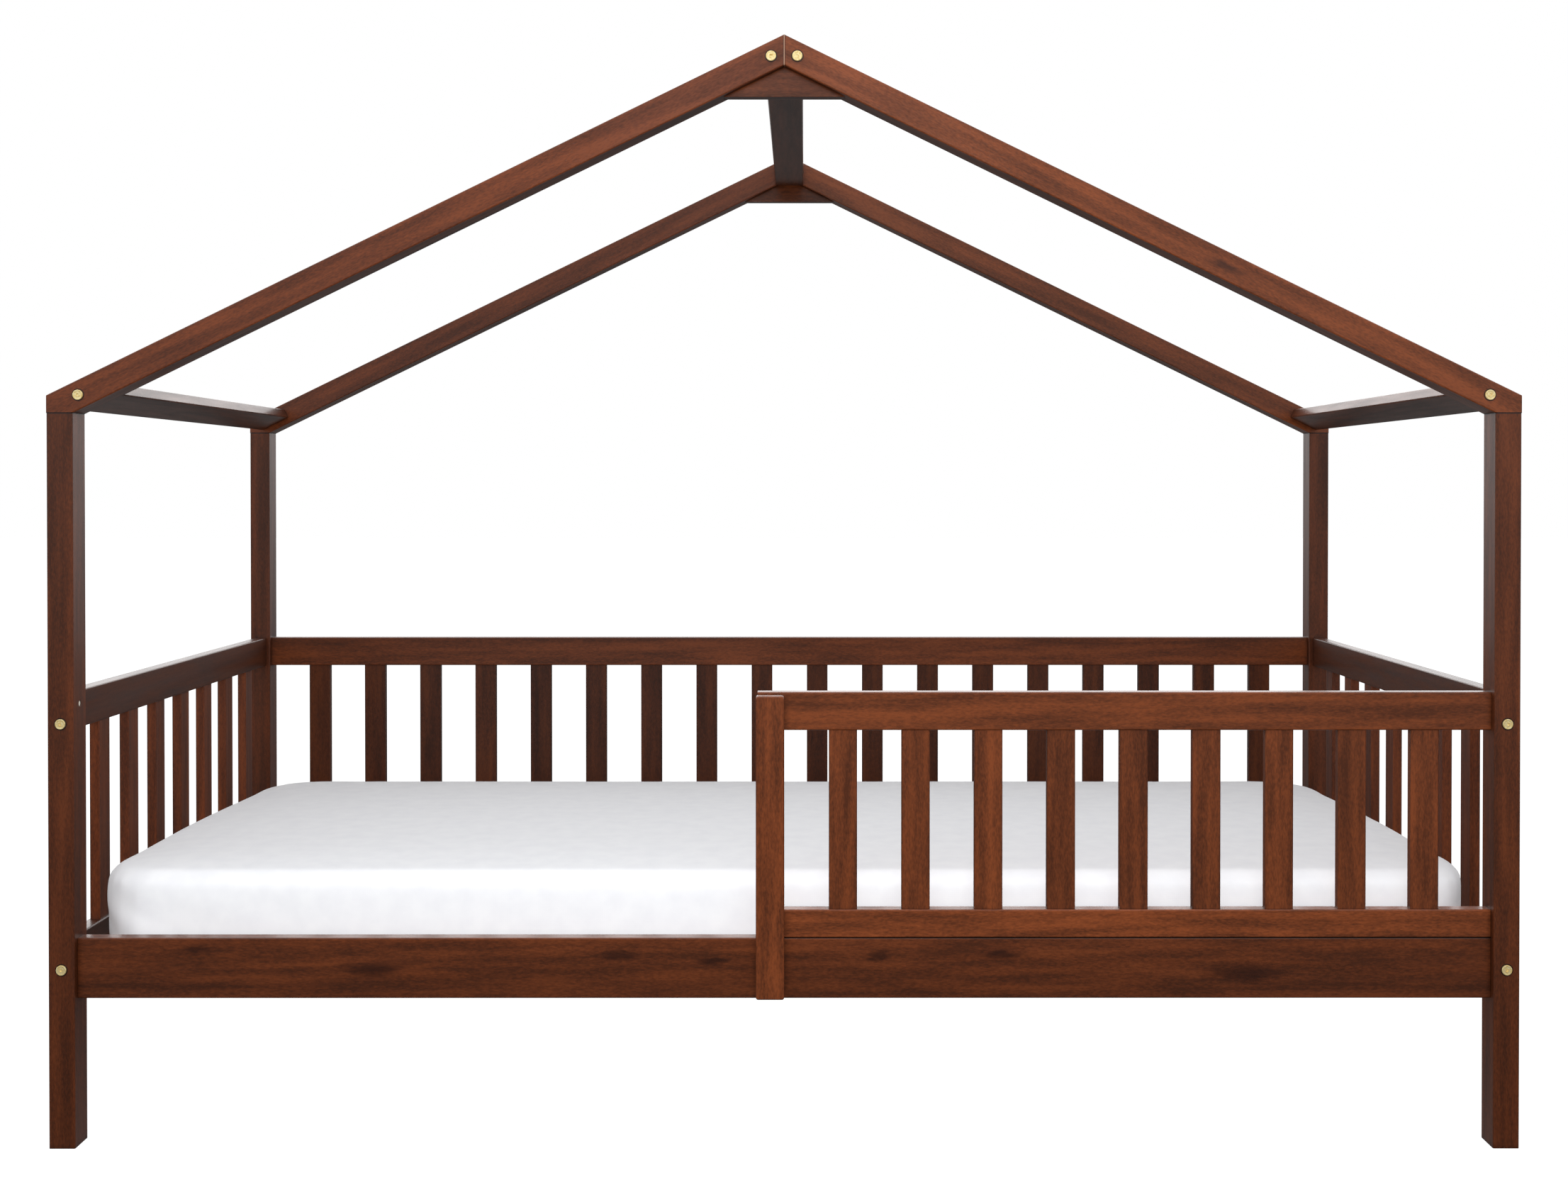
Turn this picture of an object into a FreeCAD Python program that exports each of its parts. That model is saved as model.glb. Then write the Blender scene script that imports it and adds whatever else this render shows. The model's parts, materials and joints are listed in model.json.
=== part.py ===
"""House frame bed: four posts, two roof frames, slatted panels, a front guard, a slatted base and a mattress.

Millimetres. +X is the bed's length, the open side faces -Y, +Z is up. The origin is on the floor, in the
middle of the overall box.
"""

import FreeCAD, Part
import math
import os
import Sketcher

OUTPUT_FOLDER = "parts"

# Driving sizes in millimetres, with angles in degrees and counts as plain numbers.
DRIVING_SIZES = {
    # mattress
    "mattress_length": 2000,
    "mattress_width": 900,
    "mattress_thickness": 130,
    "mattress_crown": 8,
    "mattress_corner": 85,
    "mattress_edge": 26,
    "mattress_waist": 4,
    "mattress_side_gap": 5,
    "mattress_end_gap": 3,
    "mattress_lift": 0.3,
    # posts
    "post_width": 37,
    "post_depth": 45,
    "post_height": 1040,
    "edge_round": 2,
    "edge_bevel": 1.5,
    # roof
    "roof_pitch": 26,
    "rafter_width": 39,
    "ridge_width": 53,
    "ridge_height": 42,
    "eave_width": 56,
    "eave_thickness": 18,
    "eave_set_in": 45,
    "gusset_height": 42,
    "gusset_thickness": 18,
    # rails
    "rail_thickness": 22,
    "side_rail_bottom": 210,
    "side_rail_height": 86,
    "upper_rail_top": 645,
    "upper_rail_height": 54,
    # slats of the panels
    "slat_width": 40,
    "slat_thickness": 15,
    "tenon_length": 10,
    "back_slat_count": 18,
    "back_slat_end_gap": 72,
    "end_slat_count": 7,
    "end_slat_end_gap": 76,
    # guard
    "guard_length": 1041,
    "guard_slat_count": 9,
    "guard_slat_end_gap": 73,
    "guard_bottom_height": 40,
    "stile_width": 40,
    "stile_thickness": 22,
    "stile_overlap": 2,
    "stile_inset": 3.5,
    "stile_corner": 3.5,
    # slatted base
    "ledger_size": 25,
    "ledger_end_gap": 1,
    "base_slat_count": 13,
    "base_slat_width": 80,
    "base_slat_thickness": 15,
    "base_slat_side_gap": 3,
    "base_slat_end_gap": 16,
    # tenons of the rails and posts
    "joint_tenon_length": 12,
    "joint_tenon_thickness": 12,
    "side_tenon_shoulder": 18,
    "end_tenon_height": 22,
    "end_tenon_shoulder": 8,
    "post_tenon_width": 17,
    "post_tenon_depth": 25,
    # bolts
    "bolt_diameter": 6,
    "bolt_hole": 7,
    "bolt_grip": 28,
    "head_diameter": 14.5,
    "head_height": 2.2,
    "socket_width": 4,
    "socket_depth": 3,
    "fit_clearance": 0.1,
    "hole_end_gap": 1,
    "apex_bolt_offset": 18.5,
    "end_bolt_height": 43,
    "upper_end_bolt_height": 10,
    # the guard's pin, and the plug of its spare hole
    "pin_diameter": 8,
    "pin_in_post": 12,
    "pin_in_rail": 18,
    "pin_height": 37,
    "plug_length": 6,
    "plug_recess": 1,
}

AXES = "XYZ"
# The base plane that a sketch normal to each axis lies on. The normal of the XZ plane points backwards.
SKETCH_PLANES = {"X": "YZ_Plane", "Y": "XZ_Plane", "Z": "XY_Plane"}
# The two axes that such a sketch draws along.
SECTION_AXES = {"X": "YZ", "Y": "XZ", "Z": "XY"}

doc = FreeCAD.newDocument("HouseFrameBed")
nodes = []


class Measure:
    """A size with its number now and the expression that keeps it tied to the sheet."""

    def __init__(self, text, number):
        self.text = text
        self.number = number

    def __add__(self, other):
        other = measure(other)
        return Measure(f"({self.text} + {other.text})", self.number + other.number)

    def __sub__(self, other):
        other = measure(other)
        return Measure(f"({self.text} - {other.text})", self.number - other.number)

    def __rsub__(self, other):
        return measure(other) - self

    def __mul__(self, other):
        other = measure(other)
        return Measure(f"({self.text} * {other.text})", self.number * other.number)

    def __truediv__(self, other):
        other = measure(other)
        return Measure(f"({self.text} / {other.text})", self.number / other.number)

    def __neg__(self):
        return Measure(f"(-1 * {self.text})", -self.number)

    __radd__ = __add__
    __rmul__ = __mul__


def measure(value):
    """The value as a Measure, where a plain number stands for itself."""
    return value if isinstance(value, Measure) else Measure(repr(value), value)


def sine(angle):
    return Measure(f"sin({angle.text})", math.sin(math.radians(angle.number)))


def cosine(angle):
    return Measure(f"cos({angle.text})", math.cos(math.radians(angle.number)))


def tangent(angle):
    return Measure(f"tan({angle.text})", math.tan(math.radians(angle.number)))


class Sizes:
    """The spreadsheet of driving sizes, each read as a Measure under its alias."""

    def __init__(self, table):
        self.sheet = doc.addObject("Spreadsheet::Sheet", "Sizes")
        for row, (alias, number) in enumerate(table.items(), start=1):
            self.sheet.set(f"A{row}", alias)
            self.sheet.set(f"B{row}", str(number))
            self.sheet.setAlias(f"B{row}", alias)
        doc.recompute()

    def __getattr__(self, alias):
        return Measure(f"Sizes.{alias}", float(getattr(self.sheet, alias)))


size = Sizes(DRIVING_SIZES)


def bind(thing, name, value):
    """Ties one property of an object to a Measure."""
    thing.setExpression(name, measure(value).text)


# ---------------------------------------------------------------- sketches and features


def origin_part(body, role):
    """The base plane or axis of a body that has this role."""
    return next(item for item in body.Origin.OriginFeatures if item.Role == role)


def new_body(label, place):
    """An empty body with its own label, placed by three Measures, and counted as a node."""
    body = doc.addObject("PartDesign::Body", label)
    body.Label = label
    for axis, value in zip("xyz", place):
        bind(body, f"Placement.Base.{axis}", value)
    nodes.append(body)
    return body


def new_sketch(body, name, axis, start):
    """An empty sketch normal to an axis, at a distance start along it."""
    sketch = body.newObject("Sketcher::SketchObject", f"{body.Label}_{name}_sketch")
    sketch.AttachmentSupport = [(origin_part(body, SKETCH_PLANES[axis]), "")]
    sketch.MapMode = "FlatFace"
    start = measure(start)
    bind(sketch, "AttachmentOffset.Base.z", -start if axis == "Y" else start)
    return sketch


def fix_point(sketch, geometry, end, spot):
    """Ties one point of a sketch to its two distances from the origin."""
    for kind, value in zip(("DistanceX", "DistanceY"), spot):
        value = measure(value)
        rule = Sketcher.Constraint(kind, -1, 1, geometry, end, value.number)
        bind(sketch, f"Constraints[{sketch.addConstraint(rule)}]", value)


def as_vector(spot):
    return FreeCAD.Vector(measure(spot[0]).number, measure(spot[1]).number, 0)


def draw_outline(sketch, corners):
    """Closed straight outline through the corners."""
    lines = []
    for spot, following in zip(corners, corners[1:] + corners[:1]):
        line = Part.LineSegment(as_vector(spot), as_vector(following))
        lines.append(sketch.addGeometry(line, False))
    for line, following in zip(lines, lines[1:] + lines[:1]):
        sketch.addConstraint(Sketcher.Constraint("Coincident", line, 2, following, 1))
    for line, spot in zip(lines, corners):
        fix_point(sketch, line, 1, spot)


def draw_rectangle(sketch, low, high):
    """Rectangle from its low to its high corner."""
    draw_outline(sketch, [low, (high[0], low[1]), high, (low[0], high[1])])


def draw_bevelled(sketch, low, high, bevel):
    """Rectangle from its low to its high corner, with its corners cut off."""
    (left, bottom), (right, top) = low, high
    draw_outline(sketch, [
        (left + bevel, bottom), (right - bevel, bottom), (right, bottom + bevel), (right, top - bevel),
        (right - bevel, top), (left + bevel, top), (left, top - bevel), (left, bottom + bevel),
    ])


def draw_rounded(sketch, low, high, radius):
    """Rectangle from its low to its high corner, with its corners rounded."""
    radius = measure(radius)
    (left, bottom), (right, top) = low, high
    sides = [
        ((left + radius, bottom), (right - radius, bottom)),
        ((right, bottom + radius), (right, top - radius)),
        ((right - radius, top), (left + radius, top)),
        ((left, top - radius), (left, bottom + radius)),
    ]
    centres = [
        (right - radius, bottom + radius),
        (right - radius, top - radius),
        (left + radius, top - radius),
        (left + radius, bottom + radius),
    ]
    lines = []
    for spot, following in sides:
        line = Part.LineSegment(as_vector(spot), as_vector(following))
        lines.append(sketch.addGeometry(line, False))
        fix_point(sketch, lines[-1], 1, spot)
        fix_point(sketch, lines[-1], 2, following)
    for turn, centre in enumerate(centres):
        circle = Part.Circle(as_vector(centre), FreeCAD.Vector(0, 0, 1), radius.number)
        first = math.radians(90 * (turn - 1))
        arc = sketch.addGeometry(Part.ArcOfCircle(circle, first, first + math.pi / 2), False)
        sketch.addConstraint(Sketcher.Constraint("Coincident", lines[turn], 2, arc, 1))
        sketch.addConstraint(Sketcher.Constraint("Coincident", arc, 2, lines[(turn + 1) % 4], 1))
        rule = Sketcher.Constraint("Radius", arc, radius.number)
        bind(sketch, f"Constraints[{sketch.addConstraint(rule)}]", radius)


def draw_circles(sketch, spots, diameter):
    """A circle of one diameter at each spot."""
    diameter = measure(diameter)
    for spot in spots:
        circle = Part.Circle(as_vector(spot), FreeCAD.Vector(0, 0, 1), diameter.number / 2)
        index = sketch.addGeometry(circle, False)
        fix_point(sketch, index, 3, spot)
        rule = Sketcher.Constraint("Diameter", index, diameter.number)
        bind(sketch, f"Constraints[{sketch.addConstraint(rule)}]", diameter)


def draw_hexagons(sketch, spots, across_flats):
    """A hexagon with this width across its flats at each spot."""
    radius = across_flats / 2 / cosine(measure(30))
    turns = [measure(60 * corner) for corner in range(6)]
    for across, up in spots:
        corners = [(across + radius * cosine(turn), up + radius * sine(turn)) for turn in turns]
        draw_outline(sketch, corners)


def add_feature(body, kind, name, sketch, axis, length):
    """A Pad or Pocket of a sketch, running in the positive way along its axis."""
    feature = body.newObject(f"PartDesign::{kind}", f"{body.Label}_{name}")
    feature.Profile = sketch
    normal_points_back = axis == "Y"
    feature.Reversed = (kind == "Pocket") != normal_points_back
    bind(feature, "Length", length)
    body.Tip = feature
    return feature


def drill(body, name, axis, start, depth, spots, diameter):
    """Round holes along an axis, from start over a depth."""
    sketch = new_sketch(body, name, axis, start)
    draw_circles(sketch, spots, diameter)
    return add_feature(body, "Pocket", name, sketch, axis, depth)


def grow(body, name, axis, start, length, spots, diameter):
    """Round pins along an axis, from start over a length."""
    sketch = new_sketch(body, name, axis, start)
    draw_circles(sketch, spots, diameter)
    return add_feature(body, "Pad", name, sketch, axis, length)


def add_tenon(body, name, axis, start, length, low, high):
    """A rectangular tongue on a board, from start over a length along an axis."""
    sketch = new_sketch(body, name, axis, start)
    draw_rectangle(sketch, low, high)
    return add_feature(body, "Pad", name, sketch, axis, length)


def cut_mortise(body, name, axis, start, depth, low, high, gap=0):
    """A rectangular slot, from start over a depth along an axis, wider all round by a gap."""
    sketch = new_sketch(body, name, axis, start)
    draw_rectangle(sketch, (low[0] - gap, low[1] - gap), (high[0] + gap, high[1] + gap))
    return add_feature(body, "Pocket", name, sketch, axis, depth)


def repeat(body, name, feature, axis, length, count):
    """Copies of a feature, evenly spread over a length along an axis, as the last state of the body."""
    pattern = body.newObject("PartDesign::LinearPattern", f"{body.Label}_{name}")
    pattern.Originals = [feature]
    pattern.Direction = (origin_part(body, f"{axis}_Axis"), [""])
    bind(pattern, "Length", length)
    bind(pattern, "Occurrences", count)
    body.Tip = pattern
    return pattern


def board(label, run, place, extent, bevel=None):
    """A straight board: its run axis, its low corner and its size along X, Y, Z.

    Its long edges are rounded, or bevelled where a bevel is given.
    """
    body = new_body(label, place)
    sketch = new_sketch(body, "section", run, 0)
    across, up = (extent[AXES.index(axis)] for axis in SECTION_AXES[run])
    corners = (measure(0), measure(0)), (across, up)
    if bevel:
        draw_bevelled(sketch, *corners, bevel)
    else:
        draw_rounded(sketch, *corners, size.edge_round)
    add_feature(body, "Pad", "board", sketch, run, extent[AXES.index(run)])
    return body


def ease_edges(body, kind, wanted, name, value):
    """A Fillet or Chamfer on the edges of the body's last feature for which wanted(edge) is true."""
    doc.recompute()
    base = body.Tip
    names = [f"Edge{i}" for i, edge in enumerate(base.Shape.Edges, start=1) if wanted(edge)]
    feature = body.newObject(f"PartDesign::{kind}", f"{body.Label}_eased_edges")
    feature.Base = (base, names)
    bind(feature, name, value)
    body.Tip = feature


# ---------------------------------------------------------------- places that the pieces share

inner_length = size.mattress_length + 2 * size.mattress_end_gap
inner_half = inner_length / 2
outer_half = inner_half + size.post_width
side_set_back = (size.post_depth - size.rail_thickness) / 2
end_set_back = (size.post_width - size.rail_thickness) / 2
rail_spacing = size.mattress_width + 2 * size.mattress_side_gap
frame_depth = rail_spacing + 2 * size.rail_thickness + 2 * side_set_back
inner_depth = frame_depth - 2 * size.post_depth

# The stile stands in front of the posts, and the bolt heads behind them: the origin halves that depth.
stile_proud = size.stile_thickness - side_set_back
front_face = (stile_proud - size.head_height - frame_depth) / 2
back_face = front_face + frame_depth
front_inner = front_face + size.post_depth
back_inner = back_face - size.post_depth
front_rail_y = front_face + side_set_back
back_rail_y = back_face - side_set_back - size.rail_thickness
front_middle = front_face + size.post_depth / 2
back_middle = back_face - size.post_depth / 2
post_middle = inner_half + size.post_width / 2
left_rail_x = -inner_half - end_set_back - size.rail_thickness
right_rail_x = inner_half + end_set_back

side_rail_top = size.side_rail_bottom + size.side_rail_height
upper_rail_bottom = size.upper_rail_top - size.upper_rail_height
panel_slat_bottom = side_rail_top - size.tenon_length
panel_slat_length = upper_rail_bottom + size.tenon_length - panel_slat_bottom
slat_set_back = (size.rail_thickness - size.slat_thickness) / 2

end_bolt_z = size.side_rail_bottom + size.end_bolt_height
upper_end_bolt_z = upper_rail_bottom + size.upper_end_bolt_height
pin_z = upper_rail_bottom + size.pin_height

slope = tangent(size.roof_pitch)
rafter_rise = size.rafter_width / cosine(size.roof_pitch)
apex_low = size.post_height + inner_half * slope
apex_high = apex_low + rafter_rise
rafter_end_top = apex_high - outer_half * slope
ridge_bottom = apex_low - size.ridge_width / 2 * slope
apex_bolt_z = apex_low + rafter_rise / 2 - size.apex_bolt_offset * slope
eave_x = outer_half - size.eave_set_in
eave_z = apex_low + rafter_rise / 2 - eave_x * slope

guard_left = inner_half - size.guard_length
stile_left = guard_left - size.stile_overlap
stile_right = stile_left + size.stile_width
guard_slat_gap = (
    inner_half - stile_right - size.guard_slat_end_gap - size.guard_slat_count * size.slat_width
) / size.guard_slat_count
guard_slat_pitch = guard_slat_gap + size.slat_width

ledger_top = size.side_rail_bottom + size.ledger_size
base_top = ledger_top + size.base_slat_thickness
front_ledger_y = front_rail_y + size.rail_thickness
back_ledger_y = back_rail_y - size.ledger_size

shank_hole = size.bolt_diameter + 2 * size.fit_clearance
pin_hole = size.pin_diameter + 2 * size.fit_clearance
rail_bolt_depth = size.bolt_grip + size.hole_end_gap
mortise_depth = size.joint_tenon_length + size.hole_end_gap


def side_tenon(height):
    """Low and high corners of the tenon on a rail along X, across and above the rail's own low corner."""
    deep = (size.rail_thickness - size.joint_tenon_thickness) / 2
    low = (deep, size.side_tenon_shoulder)
    return low, (deep + size.joint_tenon_thickness, height - size.side_tenon_shoulder)


def end_tenon(height):
    """The same for a rail along Y, where the tenon keeps to the upper part, clear of the bolt."""
    deep = (size.rail_thickness - size.joint_tenon_thickness) / 2
    top = height - size.end_tenon_shoulder
    return (deep, top - size.end_tenon_height), (deep + size.joint_tenon_thickness, top)


def shifted(corners, across, up):
    """The two corners moved across and up."""
    return tuple((spot[0] + across, spot[1] + up) for spot in corners)


# ---------------------------------------------------------------- posts and roof frames


def make_post(label, is_left, is_front):
    """A post: a tenon on top, bolt holes and mortises. Local X runs across it and Y through its depth."""
    place = (
        -outer_half if is_left else inner_half,
        front_face if is_front else back_inner,
        measure(0),
    )
    body = board(label, "Z", place, (size.post_width, size.post_depth, size.post_height))
    across, deep = size.post_width / 2, size.post_depth / 2
    low, high = post_tenon()
    add_tenon(body, "tenon", "Z", size.post_height, size.joint_tenon_length, low, high)
    drill(body, "bolts", "Y", 0, size.post_depth,
          [(across, end_bolt_z), (across, upper_end_bolt_z)], size.bolt_hole)
    inner_y = size.post_depth - mortise_depth if is_front else 0
    inner_x = size.post_width - mortise_depth if is_left else 0
    end_rails = {"lower": (size.side_rail_bottom, size.side_rail_height),
                 "upper": (upper_rail_bottom, size.upper_rail_height)}
    for name, (bottom, height) in end_rails.items():
        corners = shifted(end_tenon(height), end_set_back, bottom)
        cut_mortise(body, f"{name}_end_rail", "Y", inner_y, mortise_depth, *corners, size.fit_clearance)
    corners = shifted(side_tenon(size.side_rail_height), side_set_back, size.side_rail_bottom)
    cut_mortise(body, "side_rail", "X", inner_x, mortise_depth, *corners, size.fit_clearance)
    if is_front:
        depth = size.pin_in_post + size.hole_end_gap
        start = size.post_width - depth if is_left else 0
        drill(body, "guard_pin", "X", start, depth, [(deep, pin_z)], pin_hole)
    else:
        corners = shifted(side_tenon(size.upper_rail_height), side_set_back, upper_rail_bottom)
        cut_mortise(body, "upper_rail", "X", inner_x, mortise_depth, *corners, size.fit_clearance)


def post_tenon():
    """Low and high corners of the tenon on a post's top, in the post's own X and Y."""
    across, deep = size.post_width / 2, size.post_depth / 2
    half_width, half_depth = size.post_tenon_width / 2, size.post_tenon_depth / 2
    return (across - half_width, deep - half_depth), (across + half_width, deep + half_depth)


def make_rafter(label, side, face):
    """One roof slope of a frame: seated flat on its post, cut upright at the eave and at the apex."""
    body = new_body(label, (measure(0), face, measure(0)))
    sketch = new_sketch(body, "outline", "Y", 0)
    draw_outline(sketch, [
        (side * outer_half, size.post_height),
        (side * inner_half, size.post_height),
        (measure(0), apex_low),
        (measure(0), apex_high),
        (side * outer_half, rafter_end_top),
    ])
    add_feature(body, "Pad", "bar", sketch, "Y", size.post_depth)
    ease_edges(body, "Fillet", lambda edge: edge.BoundBox.XLength > 2 * size.post_width.number,
               "Radius", size.edge_round)
    drill(body, "bolts", "Y", 0, size.post_depth,
          [(side * eave_x, eave_z), (side * size.apex_bolt_offset, apex_bolt_z)], size.bolt_hole)
    post_left = -outer_half if side < 0 else inner_half
    corners = shifted(post_tenon(), post_left, 0)
    cut_mortise(body, "post", "Z", size.post_height, mortise_depth, *corners, size.fit_clearance)


def make_gusset(label, face):
    """The triangular block that fills the angle under an apex."""
    set_back = (size.post_depth - size.gusset_thickness) / 2
    body = new_body(label, (measure(0), face + set_back, measure(0)))
    low, reach = apex_low - size.gusset_height, size.gusset_height / slope
    sketch = new_sketch(body, "outline", "Y", 0)
    draw_outline(sketch, [(-reach, low), (reach, low), (measure(0), apex_low)])
    add_feature(body, "Pad", "block", sketch, "Y", size.gusset_thickness)


def drill_ends(body, run, length, spots):
    """Bolt holes in both ends of a rail or beam."""
    drill(body, "low_bolts", run, 0, rail_bolt_depth, spots, shank_hole)
    drill(body, "high_bolts", run, length - rail_bolt_depth, rail_bolt_depth, spots, shank_hole)


def add_end_tenons(body, run, length, corners):
    """The same tenon on both ends of a rail."""
    add_tenon(body, "low_tenon", run, -size.joint_tenon_length, size.joint_tenon_length, *corners)
    add_tenon(body, "high_tenon", run, length, size.joint_tenon_length, *corners)


def make_ridge_beam():
    """The beam that joins the two apexes, its lower corners on the undersides of the slopes."""
    place = (-size.ridge_width / 2, front_inner, ridge_bottom)
    body = board("ridge_beam", "Y", place, (size.ridge_width, inner_depth, size.ridge_height),
                 size.edge_bevel)
    up = apex_bolt_z - ridge_bottom
    middle = size.ridge_width / 2
    bolts = [(middle - size.apex_bolt_offset, up), (middle + size.apex_bolt_offset, up)]
    drill_ends(body, "Y", inner_depth, bolts)


def make_eave_beam(label, side):
    """A flat beam at the eave, turned about Y to lie in the roof slope, with its middle on the eave bolt."""
    half_width, half_thickness = size.eave_width / 2, size.eave_thickness / 2
    lean, stand = sine(size.roof_pitch), cosine(size.roof_pitch)
    place = (
        side * eave_x - half_width * stand - side * half_thickness * lean,
        front_inner,
        eave_z + side * half_width * lean - half_thickness * stand,
    )
    body = board(label, "Y", place, (size.eave_width, inner_depth, size.eave_thickness), size.edge_bevel)
    body.Placement.Rotation = FreeCAD.Rotation(FreeCAD.Vector(0, side, 0), size.roof_pitch.number)
    bind(body, "Placement.Rotation.Angle", size.roof_pitch)
    drill_ends(body, "Y", inner_depth, [(half_width, half_thickness)])


# ---------------------------------------------------------------- rails and panels


def slat_mortises(body, axis, first, start, count, spread):
    """Slots for slat ends, evenly spread along an axis, from start upwards over the tenon's length."""
    extent = (size.slat_width, size.slat_thickness)
    if axis == "Y":
        extent = extent[::-1]
    high = (first[0] + extent[0], first[1] + extent[1])
    slot = cut_mortise(body, "slat", "Z", start, size.tenon_length, first, high)
    repeat(body, "slats", slot, axis, spread, count)


def make_side_rail(label, y):
    """A deep rail along the mattress, tenoned into both posts."""
    body = board(label, "X", (-inner_half, y, size.side_rail_bottom),
                 (inner_length, size.rail_thickness, size.side_rail_height))
    add_end_tenons(body, "X", inner_length, side_tenon(size.side_rail_height))
    return body


def make_back_panel():
    """The back upper rail, the back side rail and the slats between them."""
    upper = board("back_upper_rail", "X", (-inner_half, back_rail_y, upper_rail_bottom),
                  (inner_length, size.rail_thickness, size.upper_rail_height))
    add_end_tenons(upper, "X", inner_length, side_tenon(size.upper_rail_height))
    lower = make_side_rail("side_rail_back", back_rail_y)
    count = size.back_slat_count
    first = (size.back_slat_end_gap, slat_set_back)
    spread = inner_length - 2 * size.back_slat_end_gap - size.slat_width
    slat_mortises(upper, "X", first, 0, count, spread)
    slat_mortises(lower, "X", first, size.side_rail_height - size.tenon_length, count, spread)
    place = (-inner_half + size.back_slat_end_gap, back_rail_y + slat_set_back, panel_slat_bottom)
    slats = board("back_slats", "Z", place,
                  (size.slat_width, size.slat_thickness, panel_slat_length), size.edge_bevel)
    repeat(slats, "row", slats.Tip, "X", spread, count)


def make_end_panel(name, x):
    """The two rails of one end, bolted and tenoned into the posts, and the slats between them."""
    deep = size.rail_thickness / 2
    first = (slat_set_back, size.end_slat_end_gap)
    spread = inner_depth - 2 * size.end_slat_end_gap - size.slat_width
    rails = {
        "lower": (size.side_rail_bottom, size.side_rail_height, size.end_bolt_height,
                  size.side_rail_height - size.tenon_length, size.edge_bevel),
        "upper": (upper_rail_bottom, size.upper_rail_height, size.upper_end_bolt_height, 0, None),
    }
    for level, (bottom, height, bolt_height, slot_start, bevel) in rails.items():
        rail = board(f"end_rail_{level}_{name}", "Y", (x, front_inner, bottom),
                     (size.rail_thickness, inner_depth, height), bevel)
        add_end_tenons(rail, "Y", inner_depth, end_tenon(height))
        drill_ends(rail, "Y", inner_depth, [(deep, bolt_height)])
        slat_mortises(rail, "Y", first, slot_start, size.end_slat_count, spread)
    place = (x + slat_set_back, front_inner + size.end_slat_end_gap, panel_slat_bottom)
    slats = board(f"end_slats_{name}", "Z", place,
                  (size.slat_thickness, size.slat_width, panel_slat_length), size.edge_bevel)
    repeat(slats, "row", slats.Tip, "Y", spread, size.end_slat_count)


# ---------------------------------------------------------------- front guard


def make_guard():
    """The stile, the two rails and the slats of the guard that closes the right half of the front."""
    first = (stile_right + guard_slat_gap - guard_left, slat_set_back)
    count = size.guard_slat_count
    spread = (count - 1) * guard_slat_pitch

    top = board("guard_top_rail", "X", (guard_left, front_rail_y, upper_rail_bottom),
                (size.guard_length, size.rail_thickness, size.upper_rail_height))
    depth = size.pin_in_rail + size.hole_end_gap
    drill(top, "pin", "X", size.guard_length - depth, depth,
          [(size.rail_thickness / 2, size.pin_height)], pin_hole)
    slat_mortises(top, "X", first, 0, count, spread)

    bottom = board("guard_bottom_rail", "X", (guard_left, front_rail_y, side_rail_top),
                   (size.guard_length, size.rail_thickness, size.guard_bottom_height), size.edge_bevel)
    slat_mortises(bottom, "X", first, size.guard_bottom_height - size.tenon_length, count, spread)

    slat_bottom = side_rail_top + size.guard_bottom_height - size.tenon_length
    slat_length = upper_rail_bottom + size.tenon_length - slat_bottom
    for number in range(int(count.number)):
        left = stile_right + guard_slat_gap + number * guard_slat_pitch
        place = (left, front_rail_y + slat_set_back, slat_bottom)
        board(f"guard_slat_{number + 1}", "Z", place,
              (size.slat_width, size.slat_thickness, slat_length), size.edge_bevel)
    make_stile()


def make_stile():
    """The upright in front of the guard's rails and the side rail, with rounded ends."""
    low = size.side_rail_bottom + size.stile_inset
    high = size.upper_rail_top - size.stile_inset
    body = new_body("guard_stile", (stile_left, front_rail_y - size.stile_thickness, low))
    sketch = new_sketch(body, "face", "Y", 0)
    draw_rounded(sketch, (measure(0), measure(0)), (size.stile_width, high - low), size.stile_corner)
    add_feature(body, "Pad", "board", sketch, "Y", size.stile_thickness)
    ease_edges(body, "Chamfer", lambda edge: edge.BoundBox.YMax < 0.01, "Size", size.edge_bevel)


def make_pin_and_plug():
    """The pin from the guard's top rail into the right post, and the plug of the left post's spare hole."""
    pin = new_body("guard_pin", (measure(0), measure(0), measure(0)))
    spot = [(front_middle, pin_z)]
    grow(pin, "pin", "X", inner_half - size.pin_in_rail, size.pin_in_rail + size.pin_in_post, spot,
         size.pin_diameter)
    plug = new_body("guard_hole_plug", (measure(0), measure(0), measure(0)))
    grow(plug, "plug", "X", -inner_half - size.plug_recess - size.plug_length, size.plug_length, spot,
         size.pin_diameter)


# ---------------------------------------------------------------- slatted base


def make_ledgers():
    """The strips inside the side rails that carry the base slats."""
    gap = size.ledger_end_gap
    for label, y in (("ledger_front", front_ledger_y), ("ledger_back", back_ledger_y)):
        board(label, "X", (-inner_half + gap, y, size.side_rail_bottom),
              (inner_length - 2 * gap, size.ledger_size, size.ledger_size), size.edge_bevel)


def make_base_slats():
    """The slats across the bed, evenly spread on the two ledgers."""
    count = size.base_slat_count
    spread = inner_length - 2 * size.base_slat_end_gap - size.base_slat_width
    y = front_ledger_y + size.base_slat_side_gap
    extent = (size.base_slat_width, rail_spacing - 2 * size.base_slat_side_gap, size.base_slat_thickness)
    for number in range(int(count.number)):
        left = -inner_half + size.base_slat_end_gap + number * spread / (count - 1)
        board(f"base_slat_{number + 1}", "Y", (left, y, ledger_top), extent, size.edge_bevel)


# ---------------------------------------------------------------- bolts


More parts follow.
